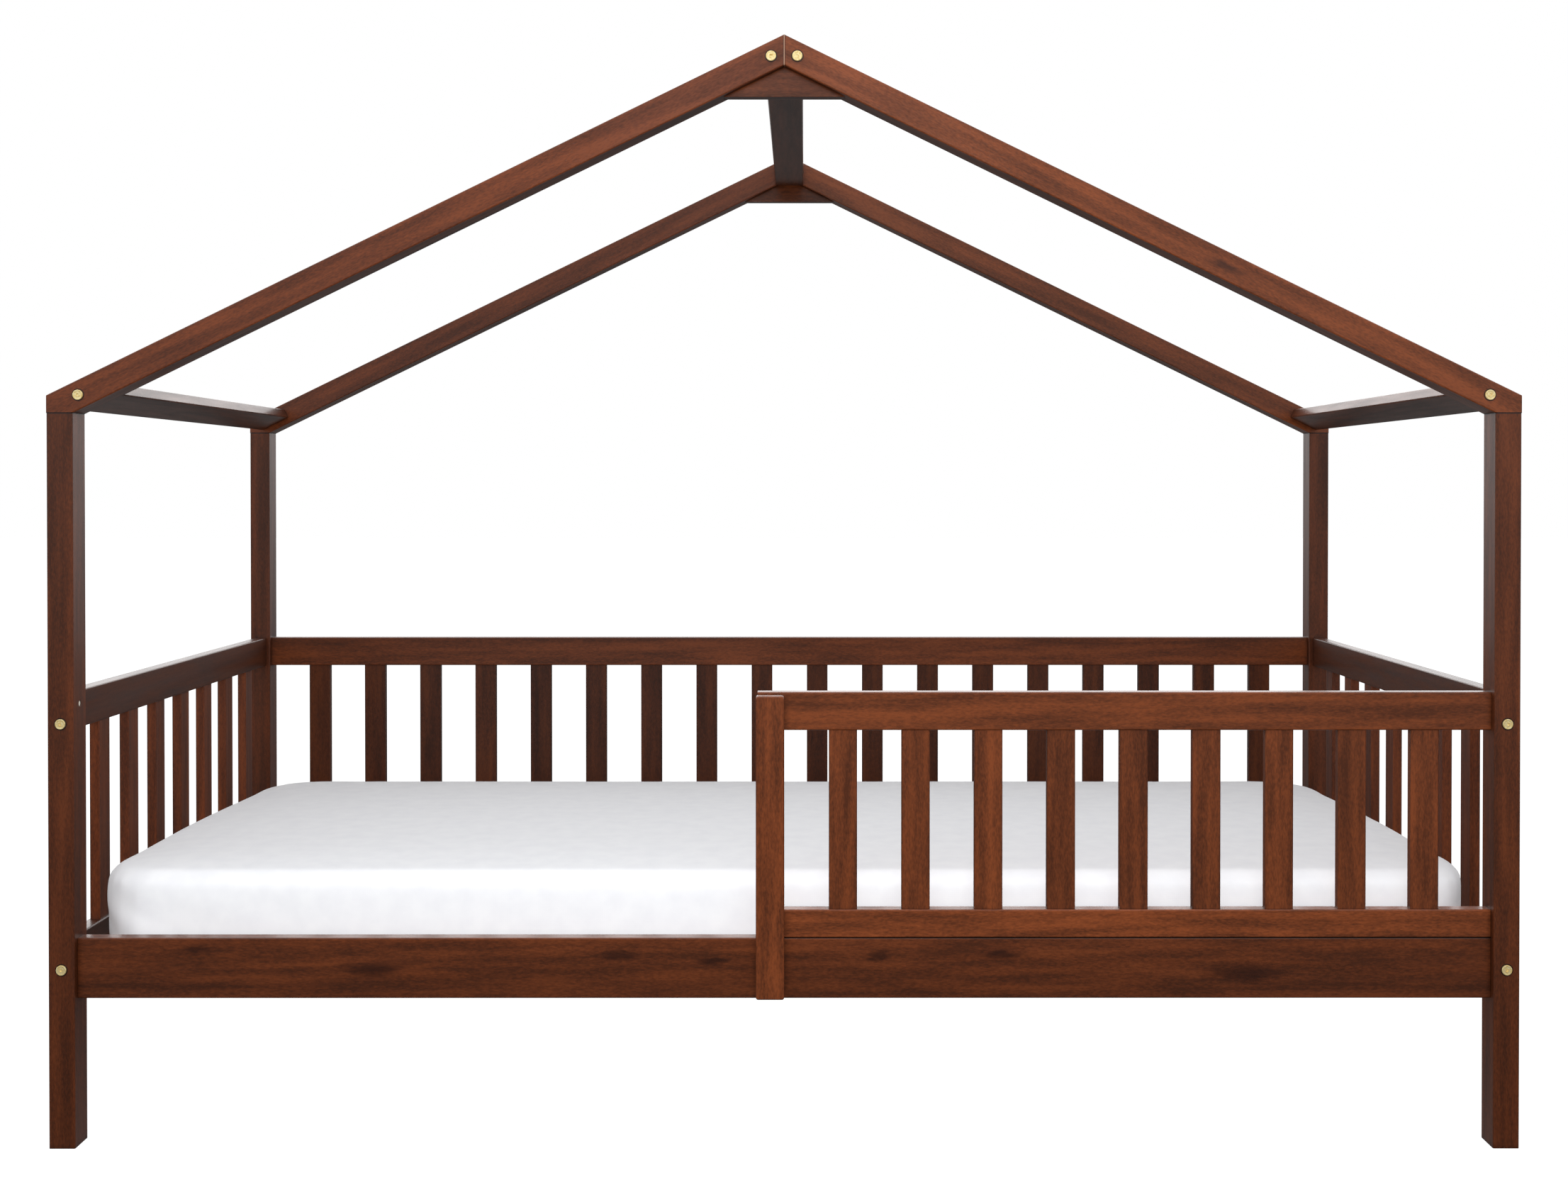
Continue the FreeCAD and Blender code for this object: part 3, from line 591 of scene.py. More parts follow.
@dataclass(frozen=True)
class PlatedMetal(Finish):
    """A turned steel fixing with a thin bright plating, brass or zinc.

    The eye gets a soft metallic shine, clouded a little by handling and by the thin coat of varnish over it.
    """

    colour: str = "#FDEDB6"
    shadow: str = "#E9C878"
    roughness: float = 0.36
    cloud: float = 3 * MM
    metallic: float = 0.6

    def surface(self, tree: bpy.types.NodeTree, place: bpy.types.NodeSocket) -> dict[str, Any]:
        """Clouds the plating.

        Args:
            tree: The material's node tree.
            place: The object coordinates.

        Returns:
            The shader's inputs.
        """
        add = partial(add_node, tree)
        cloud = add("ShaderNodeTexNoise",
                    {"Vector": place, "Scale": 1 / self.cloud, "Detail": 2.0}).outputs["Fac"]
        colour = add("ShaderNodeValToRGB", {"Fac": cloud},
                     stops=[(0.3, linear(self.shadow)), (0.62, linear(self.colour))]).outputs["Color"]
        rough = add("ShaderNodeMapRange",
                    {"Value": cloud, "From Min": 0.3, "From Max": 0.7, "To Min": self.roughness + 0.1,
                     "To Max": self.roughness - 0.06}).outputs[0]
        return {"Base Color": colour, "Roughness": rough, "Metallic": self.metallic}


@dataclass(frozen=True)
class MouldedPlastic(Finish):
    """Injection-moulded nylon from a spark-eroded mould: off-white, with a fine grit that dulls its shine."""

    colour: str = "#E9E4D6"
    shadow: str = "#DAD4C4"
    grit: float = 0.6 * MM

    def surface(self, tree: bpy.types.NodeTree, place: bpy.types.NodeSocket) -> dict[str, Any]:
        """Grits the skin that the mould leaves.

        Args:
            tree: The material's node tree.
            place: The object coordinates.

        Returns:
            The shader's inputs.
        """
        add = partial(add_node, tree)
        grit = add("ShaderNodeTexNoise", {"Vector": place, "Scale": 1 / self.grit}).outputs["Fac"]
        normal = add("ShaderNodeBump", {"Height": grit, "Strength": 0.2, "Distance": 0.05 * MM}).outputs[0]
        colour = add("ShaderNodeValToRGB", {"Fac": grit},
                     stops=[(0.3, linear(self.shadow)), (0.6, linear(self.colour))]).outputs["Color"]
        return {"Base Color": colour, "Normal": normal, "Roughness": 0.42}


@dataclass(frozen=True)
class WovenCotton(Finish):
    """Plain-woven cotton, washed and stretched.

    The eye gets a soft, matt, slightly cool white with a faint slub, and a light fuzz at flat angles.
    The threads are 0.25 mm apart; the weave is drawn at 1.6 mm so that it just shows.
    """

    colour: str = "#F1F2F5"
    shadow: str = "#ECEDF1"
    thread: float = 1.6 * MM
    slub: float = 30 * MM
    stripe: float = 0.0
    stripe_colour: str = "#C9CED8"

    def surface(self, tree: bpy.types.NodeTree, place: bpy.types.NodeSocket) -> dict[str, Any]:
        """Weaves the threads, with a coloured stripe where the cloth has one.

        Args:
            tree: The material's node tree.
            place: The object coordinates.

        Returns:
            The shader's inputs.
        """
        add = partial(add_node, tree)
        threads = [
            add("ShaderNodeTexWave",
                {"Vector": place, "Scale": WAVE_STEP / self.thread, "Distortion": 0.6},
                bands_direction=way).outputs["Fac"]
            for way in ("X", "Y", "Z")
        ]
        weave = add("ShaderNodeMath", {0: threads[0], 1: threads[1]}, operation="MULTIPLY").outputs[0]
        weave = add("ShaderNodeMath", {0: weave, 1: threads[2]}, operation="ADD").outputs[0]
        slub = add("ShaderNodeTexNoise",
                   {"Vector": place, "Scale": 1 / self.slub, "Detail": 3.0}).outputs["Fac"]
        colour = add("ShaderNodeValToRGB", {"Fac": slub},
                     stops=[(0.3, linear(self.shadow)), (0.65, linear(self.colour))]).outputs["Color"]
        if self.stripe:
            lines = add("ShaderNodeTexWave", {"Vector": place, "Scale": WAVE_STEP / self.stripe},
                        bands_direction="Y").outputs["Fac"]
            lines = add("ShaderNodeMapRange", {"Value": lines, "From Min": 0.86, "From Max": 0.94}).outputs[0]
            colour = add("ShaderNodeMix", {0: lines, 6: colour, 7: linear(self.stripe_colour)},
                         data_type="RGBA").outputs[2]
        relief = add("ShaderNodeMath", {0: slub, 1: 0.6, 2: weave}, operation="MULTIPLY_ADD").outputs[0]
        normal = add("ShaderNodeBump", {"Height": relief, "Strength": 0.12, "Distance": 0.15 * MM}).outputs[0]
        return {"Base Color": colour, "Normal": normal, "Roughness": 0.88, "Sheen Weight": 0.15}


@dataclass(frozen=True)
class MattPaper(Finish):
    """The studio's backdrop paper, which the eye gets as an even white with only soft shadows on it."""

    colour: str = "#8C8C8C"
    glow: float = 0.95

    def surface(self, tree: bpy.types.NodeTree, place: bpy.types.NodeSocket) -> dict[str, Any]:
        """Lets the paper glow and takes its shine away."""
        return {"Base Color": linear(self.colour), "Roughness": 1.0, "Specular IOR Level": 0.0,
                "Emission Color": (1, 1, 1, 1), "Emission Strength": self.glow}


# ---------------------------------------------------------------- timber


class Tone(Enum):
    """How deep a stain each board took, as dark, middle and light colours. The back slats' darkest tone is
    partly painted shade.
    """

    DARK = ("#2C1205", "#3D1B0A", "#4A230E")
    DIM = ("#331607", "#45200D", "#552812")
    DEEP = ("#381909", "#4C240F", "#5D2D14")
    WARM = ("#3C1B0A", "#512610", "#623016")
    ROOF = ("#3F1C0B", "#552812", "#673217")
    RED = ("#47210D", "#5E2E15", "#72391B")
    AMBER = ("#4C240F", "#663217", "#7B3E1E")


@dataclass
class Timber:
    """The frame's own boards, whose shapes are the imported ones, each with grain along its length."""

    # Each knot's x and z on the front side rail, with its length and width, in millimetres.
    rail_knots: tuple[tuple[float, float, float, float], ...] = (
        (-836, 279, 60, 18), (-587, 251, 110, 24), (-238, 270, 74, 18), (-100, 262, 60, 16),
        (135, 268, 34, 20), (305, 271, 84, 20), (655, 246, 124, 30))
    rafter_knot: tuple[float, float, float, float] = (624, 1246, 70, 16)
    runs: dict[str, tuple[Grain, Tone]] = field(default_factory=lambda: {
        "post_front": (Grain.UPRIGHT, Tone.WARM),
        "post_back": (Grain.UPRIGHT, Tone.DIM),
        "rafter_front_left": (Grain.LEFT_SLOPE, Tone.ROOF),
        "rafter_back_left": (Grain.LEFT_SLOPE, Tone.ROOF),
        "rafter_front_right": (Grain.RIGHT_SLOPE, Tone.RED),
        "rafter_back_right": (Grain.RIGHT_SLOPE, Tone.RED),
        "gusset_": (Grain.LENGTH, Tone.DEEP),
        "ridge_beam": (Grain.DEPTH, Tone.DEEP),
        "eave_beam_": (Grain.DEPTH, Tone.DEEP),
        "side_rail_front": (Grain.LENGTH, Tone.WARM),
        "side_rail_back": (Grain.LENGTH, Tone.DEEP),
        "back_upper_rail": (Grain.LENGTH, Tone.WARM),
        # The back slats' dark tone stands in partly for the shade on the back of the bed: painted shade.
        "back_slats": (Grain.UPRIGHT, Tone.DARK),
        "end_rail_": (Grain.DEPTH, Tone.DARK),
        "end_slats_": (Grain.UPRIGHT, Tone.ROOF),
        "guard_stile": (Grain.UPRIGHT, Tone.AMBER),
        "guard_top_rail": (Grain.LENGTH, Tone.RED),
        "guard_bottom_rail": (Grain.LENGTH, Tone.AMBER),
        "guard_slat_": (Grain.UPRIGHT, Tone.RED),
    })
    # The height of the seam on each of these boards, and the x that it starts at, in millimetres.
    seams: dict[str, tuple[float, float]] = field(default_factory=lambda: {
        "post_": (1040, -1100), "rafter_": (1040, -1100), "side_rail_front": (296, -38),
        "guard_bottom_rail": (296, -38)})

    def finish_of(self, node: str) -> Finish | None:
        """Finds the finish of a board.

        Args:
            node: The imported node's name.

        Returns:
            Its finish, or None if it isn't wood.
        """
        if node.startswith("base_slat_"):
            return PlanedPine("planed_pine_depth", Grain.DEPTH)
        if node.startswith("ledger_"):
            return PlanedPine("planed_pine_length", Grain.LENGTH)
        for start, (grain, tone) in self.runs.items():
            if node.startswith(start):
                knots = self.knots_of(node)
                seams = [seam for boards, seam in self.seams.items() if node.startswith(boards)]
                name = f"lacquered_pine_{tone.name}_{grain.name}".lower()
                name += "_seamed" * bool(seams) + f"_knotty_{node}" * bool(knots)
                return LacqueredPine(name, grain, *tone.value, knots, *seams)
        return None

    def knots_of(self, node: str) -> tuple[Knot, ...]:
        """Gives a board's knots.

        Args:
            node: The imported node's name.

        Returns:
            The knots, placed along the board's grain.
        """
        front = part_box(node)[0].y
        if node == "side_rail_front":
            return tuple(Knot((x * MM, front, z * MM), length * MM, width * MM)
                         for x, z, length, width in self.rail_knots)
        if node == "rafter_front_right":
            x, z, length, width = (v * MM for v in self.rafter_knot)
            c, s = math.cos(-ROOF_PITCH), math.sin(-ROOF_PITCH)
            return (Knot((x * c + z * s, front, z * c - x * s), length, width),)
        return ()

    def dress(self) -> None:
        """Gives every board its finish, making each material once."""
        made: dict[Finish, bpy.types.Material] = {}
        for name, node in frame["nodes"].items():
            finish = self.finish_of(name)
            if finish is None:
                continue
            if finish not in made:
                made[finish] = finish.make()
            dress(node, made[finish])
            # The mattress hides the bare pine, so the lacquer doesn't mirror it.
            node.visible_glossy = isinstance(finish, LacqueredPine)
            LOG.info("%s: %s", name, finish.name)


# ---------------------------------------------------------------- fixings


def centres(node: str, reach: float) -> list[Vector]:
    """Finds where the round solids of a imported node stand, looking along y.

    Args:
        node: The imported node's name.
        reach: Corners nearer to each other than this belong to one solid.

    Returns:
        One point for each solid, at the middle of its box in x and z, in order of x and z.
    """
    groups: list[list[Vector]] = []
    for corner in frame["nodes"][node].data.vertices:
        for group in groups:
            if math.hypot(corner.co.x - group[0].x, corner.co.z - group[0].z) < reach:
                group.append(corner.co)
                break
        else:
            groups.append([corner.co])
    points = []
    for group in groups:
        xs, zs = [c.x for c in group], [c.z for c in group]
        points.append(Vector(((min(xs) + max(xs)) / 2, 0.0, (min(zs) + max(zs)) / 2)))
    return sorted(points, key=lambda p: (round(p.x, 4), round(p.z, 4)))


@dataclass
class BrassBolts:
    """The bolts that pull the posts and roof onto the rails and beams, with dished round heads."""

    head_radius: float = 7.25 * MM
    head_proud: float = 2.2 * MM
    rim_bevel: float = 0.7 * MM
    rim_width: float = 1.5 * MM
    dish: float = 0.5 * MM
    socket_radius: float = 2.35 * MM
    socket_depth: float = 2.6 * MM
    shank_radius: float = 3 * MM

    def model(self, length: float) -> bpy.types.Object:
        """Models one bolt around the origin, its head's seat at y = 0 and its face towards -y.

        Args:
            length: How far the shank reaches behind the seat.

        Returns:
            The bolt.
        """
        deselect_all()
        bpy.ops.mesh.primitive_cylinder_add(
            vertices=36, radius=self.head_radius, depth=self.head_proud,
            location=(0, -self.head_proud / 2, 0), rotation=(math.pi / 2, 0, 0))
        bolt = bpy.context.active_object
        settle(bolt)
        edit(bolt)
        top = -self.head_proud
        pick(bolt, Element.EDGE, lambda ends: all(abs(e.y - top) < 1e-5 for e in ends))
        bpy.ops.mesh.bevel(offset=self.rim_bevel, segments=3)
        pick(bolt, Element.FACE, lambda face: face.normal.y < -0.99)
        bpy.ops.mesh.inset(thickness=self.rim_width)
        bpy.ops.transform.translate(value=(0, self.dish, 0))
        bpy.ops.mesh.inset(thickness=self.rim_width * 0.8)
        bpy.ops.transform.translate(value=(0, -self.dish * 0.25, 0))
        pick(bolt, Element.FACE, lambda face: face.normal.y > 0.99)
        bpy.ops.mesh.inset(thickness=self.head_radius - self.shank_radius)
        bpy.ops.mesh.extrude_region_move(TRANSFORM_OT_translate={"value": (0, length, 0)})
        close_edit()
        bpy.ops.mesh.primitive_cylinder_add(
            vertices=6, radius=self.socket_radius, depth=2 * self.socket_depth,
            location=(0, top, 0), rotation=(math.pi / 2, 0, 0))
        cutter = bpy.context.active_object
        apply_modifier(bolt, "BOOLEAN", object=cutter, operation="DIFFERENCE", solver="EXACT")
        bpy.data.objects.remove(cutter)
        activate(bolt)
        bpy.ops.object.shade_smooth_by_angle(angle=math.radians(35))
        return bolt

    def build(self, node: str, name: str, brass: bpy.types.Material) -> bpy.types.Object:
        """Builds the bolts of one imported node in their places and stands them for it.

        Args:
            node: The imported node.
            name: The new piece's name.
            brass: The plated metal.

        Returns:
            The bolts as one piece.
        """
        low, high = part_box(node)
        faces_front = abs(low.y) > abs(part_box("post_front_left")[0].y)
        seat = low.y + self.head_proud if faces_front else high.y - self.head_proud
        bolt = self.model(high.y - low.y - self.head_proud)
        if not faces_front:
            bolt.rotation_euler.z = math.pi
            settle(bolt)
        places = [Vector((p.x, seat, p.z)) for p in centres(node, 2.5 * self.head_radius)]
        piece = copies(bolt, places, name)
        dress(piece, brass)
        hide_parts(node)
        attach(piece, "bed_frame")
        LOG.info("%s: %d bolts", name, len(places))
        return piece


@dataclass
class LedgerScrews:
    """The pan-headed screws that hold the two ledgers to the side rails, in reach with the mattress up."""

    count: int = 6
    end_gap: float = 110 * MM
    head_radius: float = 4.2 * MM
    head_proud: float = 1.5 * MM
    slot_length: float = 2.6 * MM
    slot_width: float = 0.9 * MM

    def model(self) -> bpy.types.Object:
        """Models one cross-slotted head around the origin, facing -y.

        Returns:
            The head.
        """
        deselect_all()
        # The head is sunk into the wood by a fifth of its height.
        bpy.ops.mesh.primitive_cylinder_add(
            vertices=24, radius=self.head_radius, depth=self.head_proud * 1.2,
            location=(0, -self.head_proud * 0.4, 0), rotation=(math.pi / 2, 0, 0))
        head = bpy.context.active_object
        settle(head)
        edit(head)
        pick(head, Element.FACE, lambda face: face.normal.y < -0.99)
        bpy.ops.mesh.bevel(offset=self.head_proud * 0.6, segments=3, affect="EDGES")
        close_edit()
        for turn in (0.0, math.pi / 2):
            bpy.ops.mesh.primitive_cube_add(size=1, location=(0, -self.head_proud, 0), rotation=(0, turn, 0))
            cutter = bpy.context.active_object
            cutter.scale = (self.slot_length * 2, self.head_proud, self.slot_width)
            apply_modifier(head, "BOOLEAN", object=cutter, operation="DIFFERENCE", solver="EXACT")
            bpy.data.objects.remove(cutter)
        activate(head)
        bpy.ops.object.shade_smooth_by_angle(angle=math.radians(35))
        return head

    def build(self, steel: bpy.types.Material) -> None:
        """Sets a row of screws in each ledger's inner face.

        Args:
            steel: The zinc-plated metal.
        """
        for side, outward in (("front", 1), ("back", -1)):
            low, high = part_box("ledger_" + side)
            head = self.model()
            if outward > 0:
                head.rotation_euler.z = math.pi
                settle(head)
            y = high.y if outward > 0 else low.y
            step = (high.x - low.x - 2 * self.end_gap) / (self.count - 1)
            height = (low.z + high.z) / 2
            places = [Vector((low.x + self.end_gap + step * i, y, height)) for i in range(self.count)]
            piece = copies(head, places, f"ledger_screws_{side}")
            dress(piece, steel)
            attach(piece, "bed_frame")
            LOG.info("%s: %d screws", piece.name, self.count)


# ---------------------------------------------------------------- mattress


@dataclass
class Mattress:
    """The foam pad and its fitted sheet, which is stretched over it and gathered underneath."""

    front_corner: float = 98 * MM
    back_corner: float = 125 * MM
    edge_radius: float = 23 * MM
    swell: float = 7 * MM
    side_hold: float = 0.35
    fall: float = 14 * MM
    fall_start: float = 0.35
    crown: float = 3 * MM
    sheet_gap: float = 1.6 * MM
    under_gap: float = 0.4 * MM
    top_gap: float = 1 * MM
    box_margin: tuple[float, float, float] = (0.8 * MM, 0.8 * MM, 0.3 * MM)
    tuck: float = 62 * MM
    voxel: float = 14 * MM
    frames: int = 20
    flat_size: tuple[float, float] = (1.29, 2.39)
    corner_cut: float = 0.19
    fold_height: float = 2.2 * MM
    fold_reach: float = 120 * MM
    fold_spacing: float = 34 * MM
    fold_start: float = 50 * MM
    wave_height: float = 0.5 * MM

    def block(self) -> bpy.types.Object:
        """Models the unswollen pad: a block with round corners and soft edges.

        Returns:
            The block.
        """
        low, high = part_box("mattress")
        inset = self.swell + self.sheet_gap
        size = high - low - Vector((2 * inset, 2 * inset, self.swell + 2 * self.sheet_gap + self.top_gap))
        middle = (low + high) / 2
        middle.z = low.z + self.sheet_gap + self.under_gap + size.z / 2
        deselect_all()
        bpy.ops.mesh.primitive_cube_add(size=1, location=middle)
        pad = bpy.context.active_object
        pad.name = "mattress_pad"
        pad.scale = size
        settle(pad)
        edit(pad)
        for radius, way in ((self.front_corner, -1), (self.back_corner, 1)):
            pick(pad, Element.EDGE, lambda ends: abs(ends[0].z - ends[1].z) > 10 * MM
                 and way * (ends[0].y - middle.y) > size.y / 4)
            bpy.ops.mesh.bevel(offset=radius - inset, segments=10)
        flat = (middle.z - size.z / 2, middle.z + size.z / 2)
        pick(pad, Element.EDGE, lambda ends: abs(ends[0].z - ends[1].z) < 1e-5 and (
            abs(ends[0].z - flat[0]) < 1e-5 or abs(ends[0].z - flat[1]) < 1e-5))
        bpy.ops.mesh.bevel(offset=self.edge_radius, segments=5)
        close_edit()
        return pad

    def inflate(self, pad: bpy.types.Object) -> None:
        """Swells the pad as its filling does, by a cloth simulation under pressure, and rounds it.

        Args:
            pad: The block, whose mesh is changed.
        """
        apply_modifier(pad, "REMESH", mode="VOXEL", voxel_size=self.voxel)
        start = corners(pad)
        activate(pad)
        cloth = pad.modifiers.new("Filling", "CLOTH")
        cloth.settings.quality = 5
        cloth.settings.mass = 0.4
        cloth.settings.use_pressure = True
        cloth.settings.uniform_pressure_force = 4
        cloth.settings.tension_stiffness = cloth.settings.compression_stiffness = 30
        cloth.settings.bending_stiffness = 2
        cloth.settings.effector_weights.gravity = 0
        cloth.collision_settings.use_collision = False
        for number in range(1, self.frames + 1):
            bpy.context.scene.frame_set(number)
        activate(pad)
        bpy.ops.object.modifier_apply(modifier=cloth.name)
        bpy.context.scene.frame_set(1)
        moved = corners(pad) - start
        length = np.linalg.norm(moved, axis=1)
        moved *= (np.minimum(length, self.swell) / np.maximum(length, 1e-9))[:, None]
        # The rails hold the long sides in, and the slatted base holds the underside flat.
        moved[:, 1] *= self.side_hold
        places = start + moved
        places[:, 2] = np.maximum(places[:, 2], start[:, 2].min())
        set_corners(pad, self.fill_bed(places))
        apply_modifier(pad, "SUBSURF", levels=1, render_levels=1)
        bpy.ops.object.shade_smooth()

    def fill_bed(self, places: np.ndarray) -> np.ndarray:
        """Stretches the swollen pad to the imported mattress's box, and lets its top fall towards the back.

        Args:
            places: The pad's corners.

        Returns:
            The new places of the corners.
        """
        low, high = (np.array(c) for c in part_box("mattress"))
        margin = self.sheet_gap + np.array(self.box_margin)
        low, high = low + margin, high - margin + (0, 0, self.crown)
        was_low, was_high = places.min(0), places.max(0)
        share = (places - was_low) / (was_high - was_low)
        places = low + share * (high - low)
        back = np.clip((share[:, 1] - self.fall_start) / (1 - self.fall_start), 0, 1)
        places[:, 2] -= self.fall * share[:, 2] * back * back * (3 - 2 * back)
        return places

    def fit_sheet(self, pad: bpy.types.Object) -> bpy.types.Object:
        """Lifts the sheet off the pad's own skin, opens it underneath and lays folds at its corners.

        Args:
            pad: The finished pad.

        Returns:
            The sheet, one layer of cloth.
        """
        sheet = pad.copy()
        sheet.data = pad.data.copy()
        sheet.name = "fitted_sheet"
        bpy.context.scene.collection.objects.link(sheet)
        low, high = (Vector(corner) for corner in self.box_of(pad))
        edit(sheet)
        pick(sheet, Element.FACE,
             lambda face: face.normal.z < -0.9 and self.inside(face.center, low, high) > self.tuck)
        bpy.ops.mesh.delete(type="FACE")
        close_edit()
        places, normals = corners(sheet), np.empty(len(sheet.data.vertices) * 3)
        sheet.data.vertices.foreach_get("normal", normals)
        normals = normals.reshape(-1, 3)
        lift = self.sheet_gap + self.folds(places, low, high)
        set_corners(sheet, places + normals * lift[:, None])
        return sheet

    def box_of(self, piece: bpy.types.Object) -> tuple[list[float], list[float]]:
        """Gives a piece's lowest and highest corner."""
        places = corners(piece)
        return places.min(0).tolist(), places.max(0).tolist()

    def inside(self, point: Vector, low: Vector, high: Vector) -> float:
        """Says how far a point lies inside the pad's outline, seen from above."""
        return min(point.x - low.x, high.x - point.x, point.y - low.y, high.y - point.y)

    def folds(self, places: np.ndarray, low: Vector, high: Vector) -> np.ndarray:
        """Works out how far the sheet's folds stand off the pad.

        The pull of the elastic makes short folds that fan up from under each corner, and long shallow
        waves along the sides. The top is drawn smooth.

        Args:
            places: The sheet's corners.
            low: The pad's lowest corner.
            high: The pad's highest corner.

        Returns:
            One height in metres for each corner of the mesh.
        """
        x, y, z = places.T
        height = np.clip((z - low.z) / (high.z - low.z), 0, 1)
        # Folds fade away over the upper half, and lie flatter where the elastic pulls them under.
        side = np.clip((0.97 - height) / 0.5, 0, 1) * np.clip(height / 0.08, 0.3, 1)
        out = np.zeros(len(places))
        for cx, sx in ((low.x, 1), (high.x, -1)):
            for cy, sy in ((low.y, 1), (high.y, -1)):
                dx, dy = sx * (x - cx), sy * (y - cy)
                away = np.hypot(np.maximum(dx - self.fold_start, 0), np.maximum(dy - self.fold_start, 0))
                near = np.exp(-(away / self.fold_reach) ** 2)
                turn = (dx - dy) / self.fold_spacing + 1.1 * np.sin(7 * height + 2 * cx + 3 * cy)
                out += self.fold_height * near * side * np.maximum(np.sin(turn + 2.4 * height), -0.35)
        wave = np.sin(9.5 * x + 2 * np.sin(3 * x)) * np.sin(8 * y + 1.3)
        return out + self.wave_height * side * wave

    def build(self, cotton: bpy.types.Material, ticking: bpy.types.Material) -> None:
        """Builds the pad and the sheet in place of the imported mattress.

        Args:
            cotton: The sheet's cloth.
            ticking: The pad's own cover.
        """
        pad = self.block()
        self.inflate(pad)
        sheet = self.fit_sheet(pad)
        dress(pad, ticking)
        dress(sheet, cotton)
        for piece in (pad, sheet):
            piece.visible_glossy = False
            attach(piece, "mattress")
            LOG.info("%s: %d faces", piece.name, len(piece.data.polygons))
        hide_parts("mattress")
        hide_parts("mattress")


# ---------------------------------------------------------------- studio


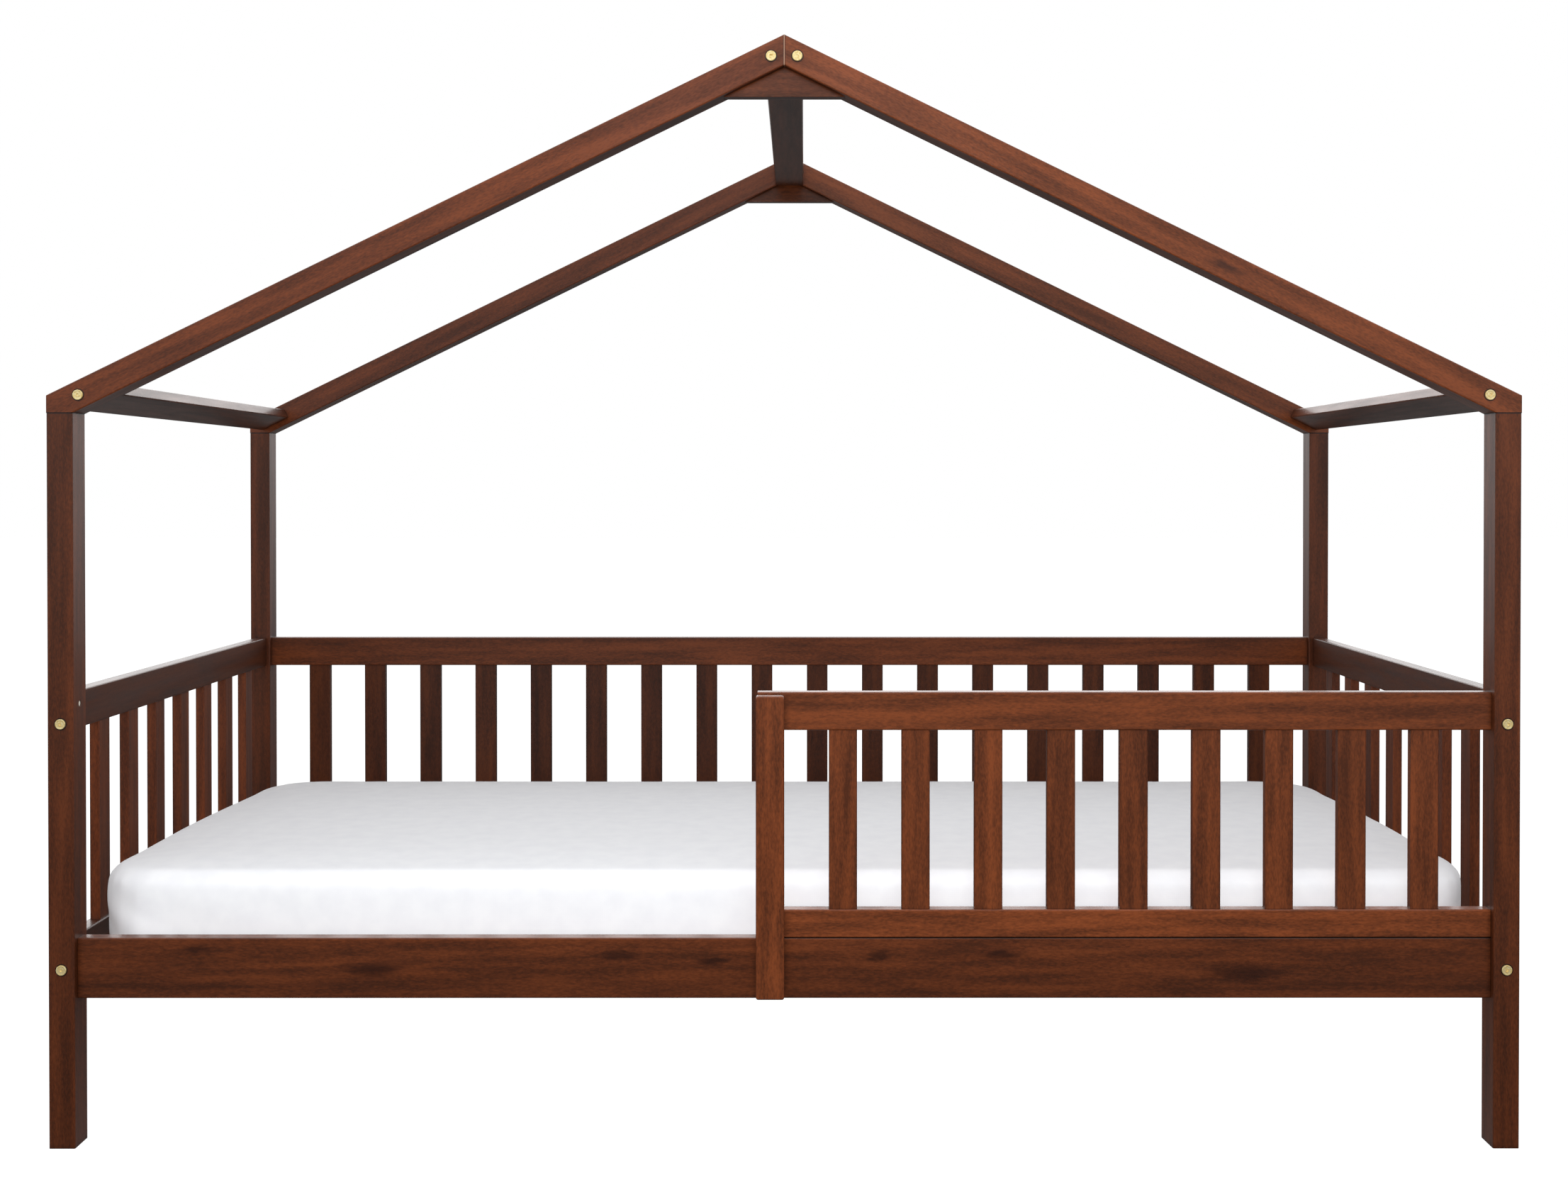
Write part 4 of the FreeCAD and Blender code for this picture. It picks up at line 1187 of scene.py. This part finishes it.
@dataclass
class Studio:
    """The pale floor, the soft light and the camera at the photograph's place."""

    camera_place: tuple[float, float, float] = (0.0277, -3.0149, 0.9350)
    camera_down: float = 0.00965
    camera_turn: float = -0.00067
    focal_pixels: float = 2532.0
    sensor: float = 36.0
    axis_pixel: tuple[float, float] = (1135.7, 711.9)
    lamp_place: tuple[float, float, float] = (0.0, -3.0, 1.7)
    lamp_aim: tuple[float, float, float] = (0.0, 0.0, 0.7)
    lamp_size: float = 1.0
    lamp_power: float = 77.0
    floor_size: float = 60.0
    floor_drop: float = 0.2 * MM
    # Each ramp of the world's strength over a direction's x, y or z: its axis, its start and end, and its
    # strength at both.
    ramps: dict[str, tuple[str, float, float, float, float]] = field(default_factory=lambda: {
        "soft": ("Z", -0.9, 1.0, 0.06, 0.63),
        "room": ("Z", -0.16, 0.12, 0.02, 0.85),
        "wall": ("Z", -0.10, 0.02, 0.03, 0.7),
        "ceiling": ("Z", 0.02, 0.24, 0.0, 1.9),
        "ground": ("Z", -0.25, -0.45, 0.0, 0.35),
        "behind_bed": ("Y", -0.3, 0.3, 0.0, 1.0),
    })

    def camera(self) -> None:
        """Stands the camera where the photograph was taken from."""
        deselect_all()
        bpy.ops.object.camera_add(location=self.camera_place,
                                  rotation=(math.pi / 2 - self.camera_down, 0, self.camera_turn))
        camera = bpy.context.active_object
        camera.name = "camera"
        camera.data.sensor_width = self.sensor
        camera.data.lens = self.focal_pixels / PHOTO_WIDTH * self.sensor
        camera.data.shift_x = (PHOTO_WIDTH / 2 - self.axis_pixel[0]) / PHOTO_WIDTH
        camera.data.shift_y = (self.axis_pixel[1] - PHOTO_HEIGHT / 2) / PHOTO_WIDTH
        camera.data.clip_end = 100
        bpy.context.scene.camera = camera

    def floor(self) -> None:
        """Lays the floor, a large sheet of matt white paper."""
        deselect_all()
        bpy.ops.mesh.primitive_plane_add(size=self.floor_size, location=(0, 0, -self.floor_drop))
        floor = bpy.context.active_object
        floor.name = "floor"
        dress(floor, MattPaper("matt_white_paper").make())
        floor.visible_glossy = floor.visible_diffuse = False

    def world(self) -> None:
        """Fills the studio with soft white light that grows from below to above.

        Glossy surfaces see a bright wall and ceiling behind the bed, and a dimmer room behind the camera.
        """
        world = bpy.data.worlds.new("white_studio")
        bpy.context.scene.world = world
        world.use_nodes = True
        tree = world.node_tree
        add = partial(add_node, tree)
        way = add("ShaderNodeTexCoord").outputs["Generated"]
        parts = add("ShaderNodeSeparateXYZ", {0: way}).outputs
        ray = add("ShaderNodeLightPath").outputs
        light = {
            name: add("ShaderNodeMapRange", {"Value": parts[axis], "From Min": start, "From Max": end,
                                             "To Min": low, "To Max": high}).outputs[0]
            for name, (axis, start, end, low, high) in self.ramps.items()
        }
        far = add("ShaderNodeMath", {0: light["wall"], 1: light["ceiling"]}, operation="ADD").outputs[0]
        far = add("ShaderNodeMath", {0: far, 1: light["ground"]}, operation="ADD").outputs[0]
        gloss = add("ShaderNodeMix", {0: light["behind_bed"], 2: light["room"], 3: far}).outputs[0]
        strength = add("ShaderNodeMix", {0: ray["Is Glossy Ray"], 2: light["soft"], 3: gloss}).outputs[0]
        strength = add("ShaderNodeMix", {0: ray["Is Camera Ray"], 2: strength, 3: 1.0}).outputs[0]
        feed(tree, tree.nodes["Background"], {"Color": (1, 1, 1, 1), "Strength": strength})

    def front_lamp(self) -> None:
        """Hangs the one lamp above the camera. It casts no shadows, as a wide soft box hardly does."""
        bpy.ops.object.light_add(type="AREA", location=self.lamp_place)
        lamp = bpy.context.active_object
        lamp.name = "front_lamp"
        lamp.data.size = self.lamp_size
        lamp.data.energy = self.lamp_power
        lamp.data.use_shadow = False
        lamp.visible_glossy = False
        aim = Vector(self.lamp_aim) - Vector(self.lamp_place)
        lamp.rotation_euler = aim.to_track_quat("-Z", "Y").to_euler()

    def build(self) -> None:
        """Sets up the whole studio."""
        self.camera()
        self.floor()
        self.world()
        self.front_lamp()
        bpy.context.scene.view_settings.view_transform = "Standard"


# ---------------------------------------------------------------- the bed


def main() -> None:
    """Builds the studio and every piece of the bed, in order."""
    logging.basicConfig(level=logging.INFO, format="%(message)s")
    Studio().build()
    Timber().dress()
    brass = PlatedMetal("brass_plated_steel").make()
    zinc = PlatedMetal("zinc_plated_steel", "#C9CBCC", "#9DA0A3", 0.32).make()
    bolts = BrassBolts()
    bolts.build("front_bolts", "front_bolt_set", brass)
    bolts.build("back_bolts", "back_bolt_set", brass)
    LedgerScrews().build(zinc)
    dress(frame["nodes"]["guard_pin"], zinc)
    dress(frame["nodes"]["guard_hole_plug"], MouldedPlastic("moulded_nylon").make())
    Mattress().build(
        WovenCotton("woven_cotton_sheet").make(),
        WovenCotton("woven_cotton_ticking", "#E4E2DC", "#D8D5CD", stripe=14 * MM).make(),
    )


if __name__ == "__main__":
    main()
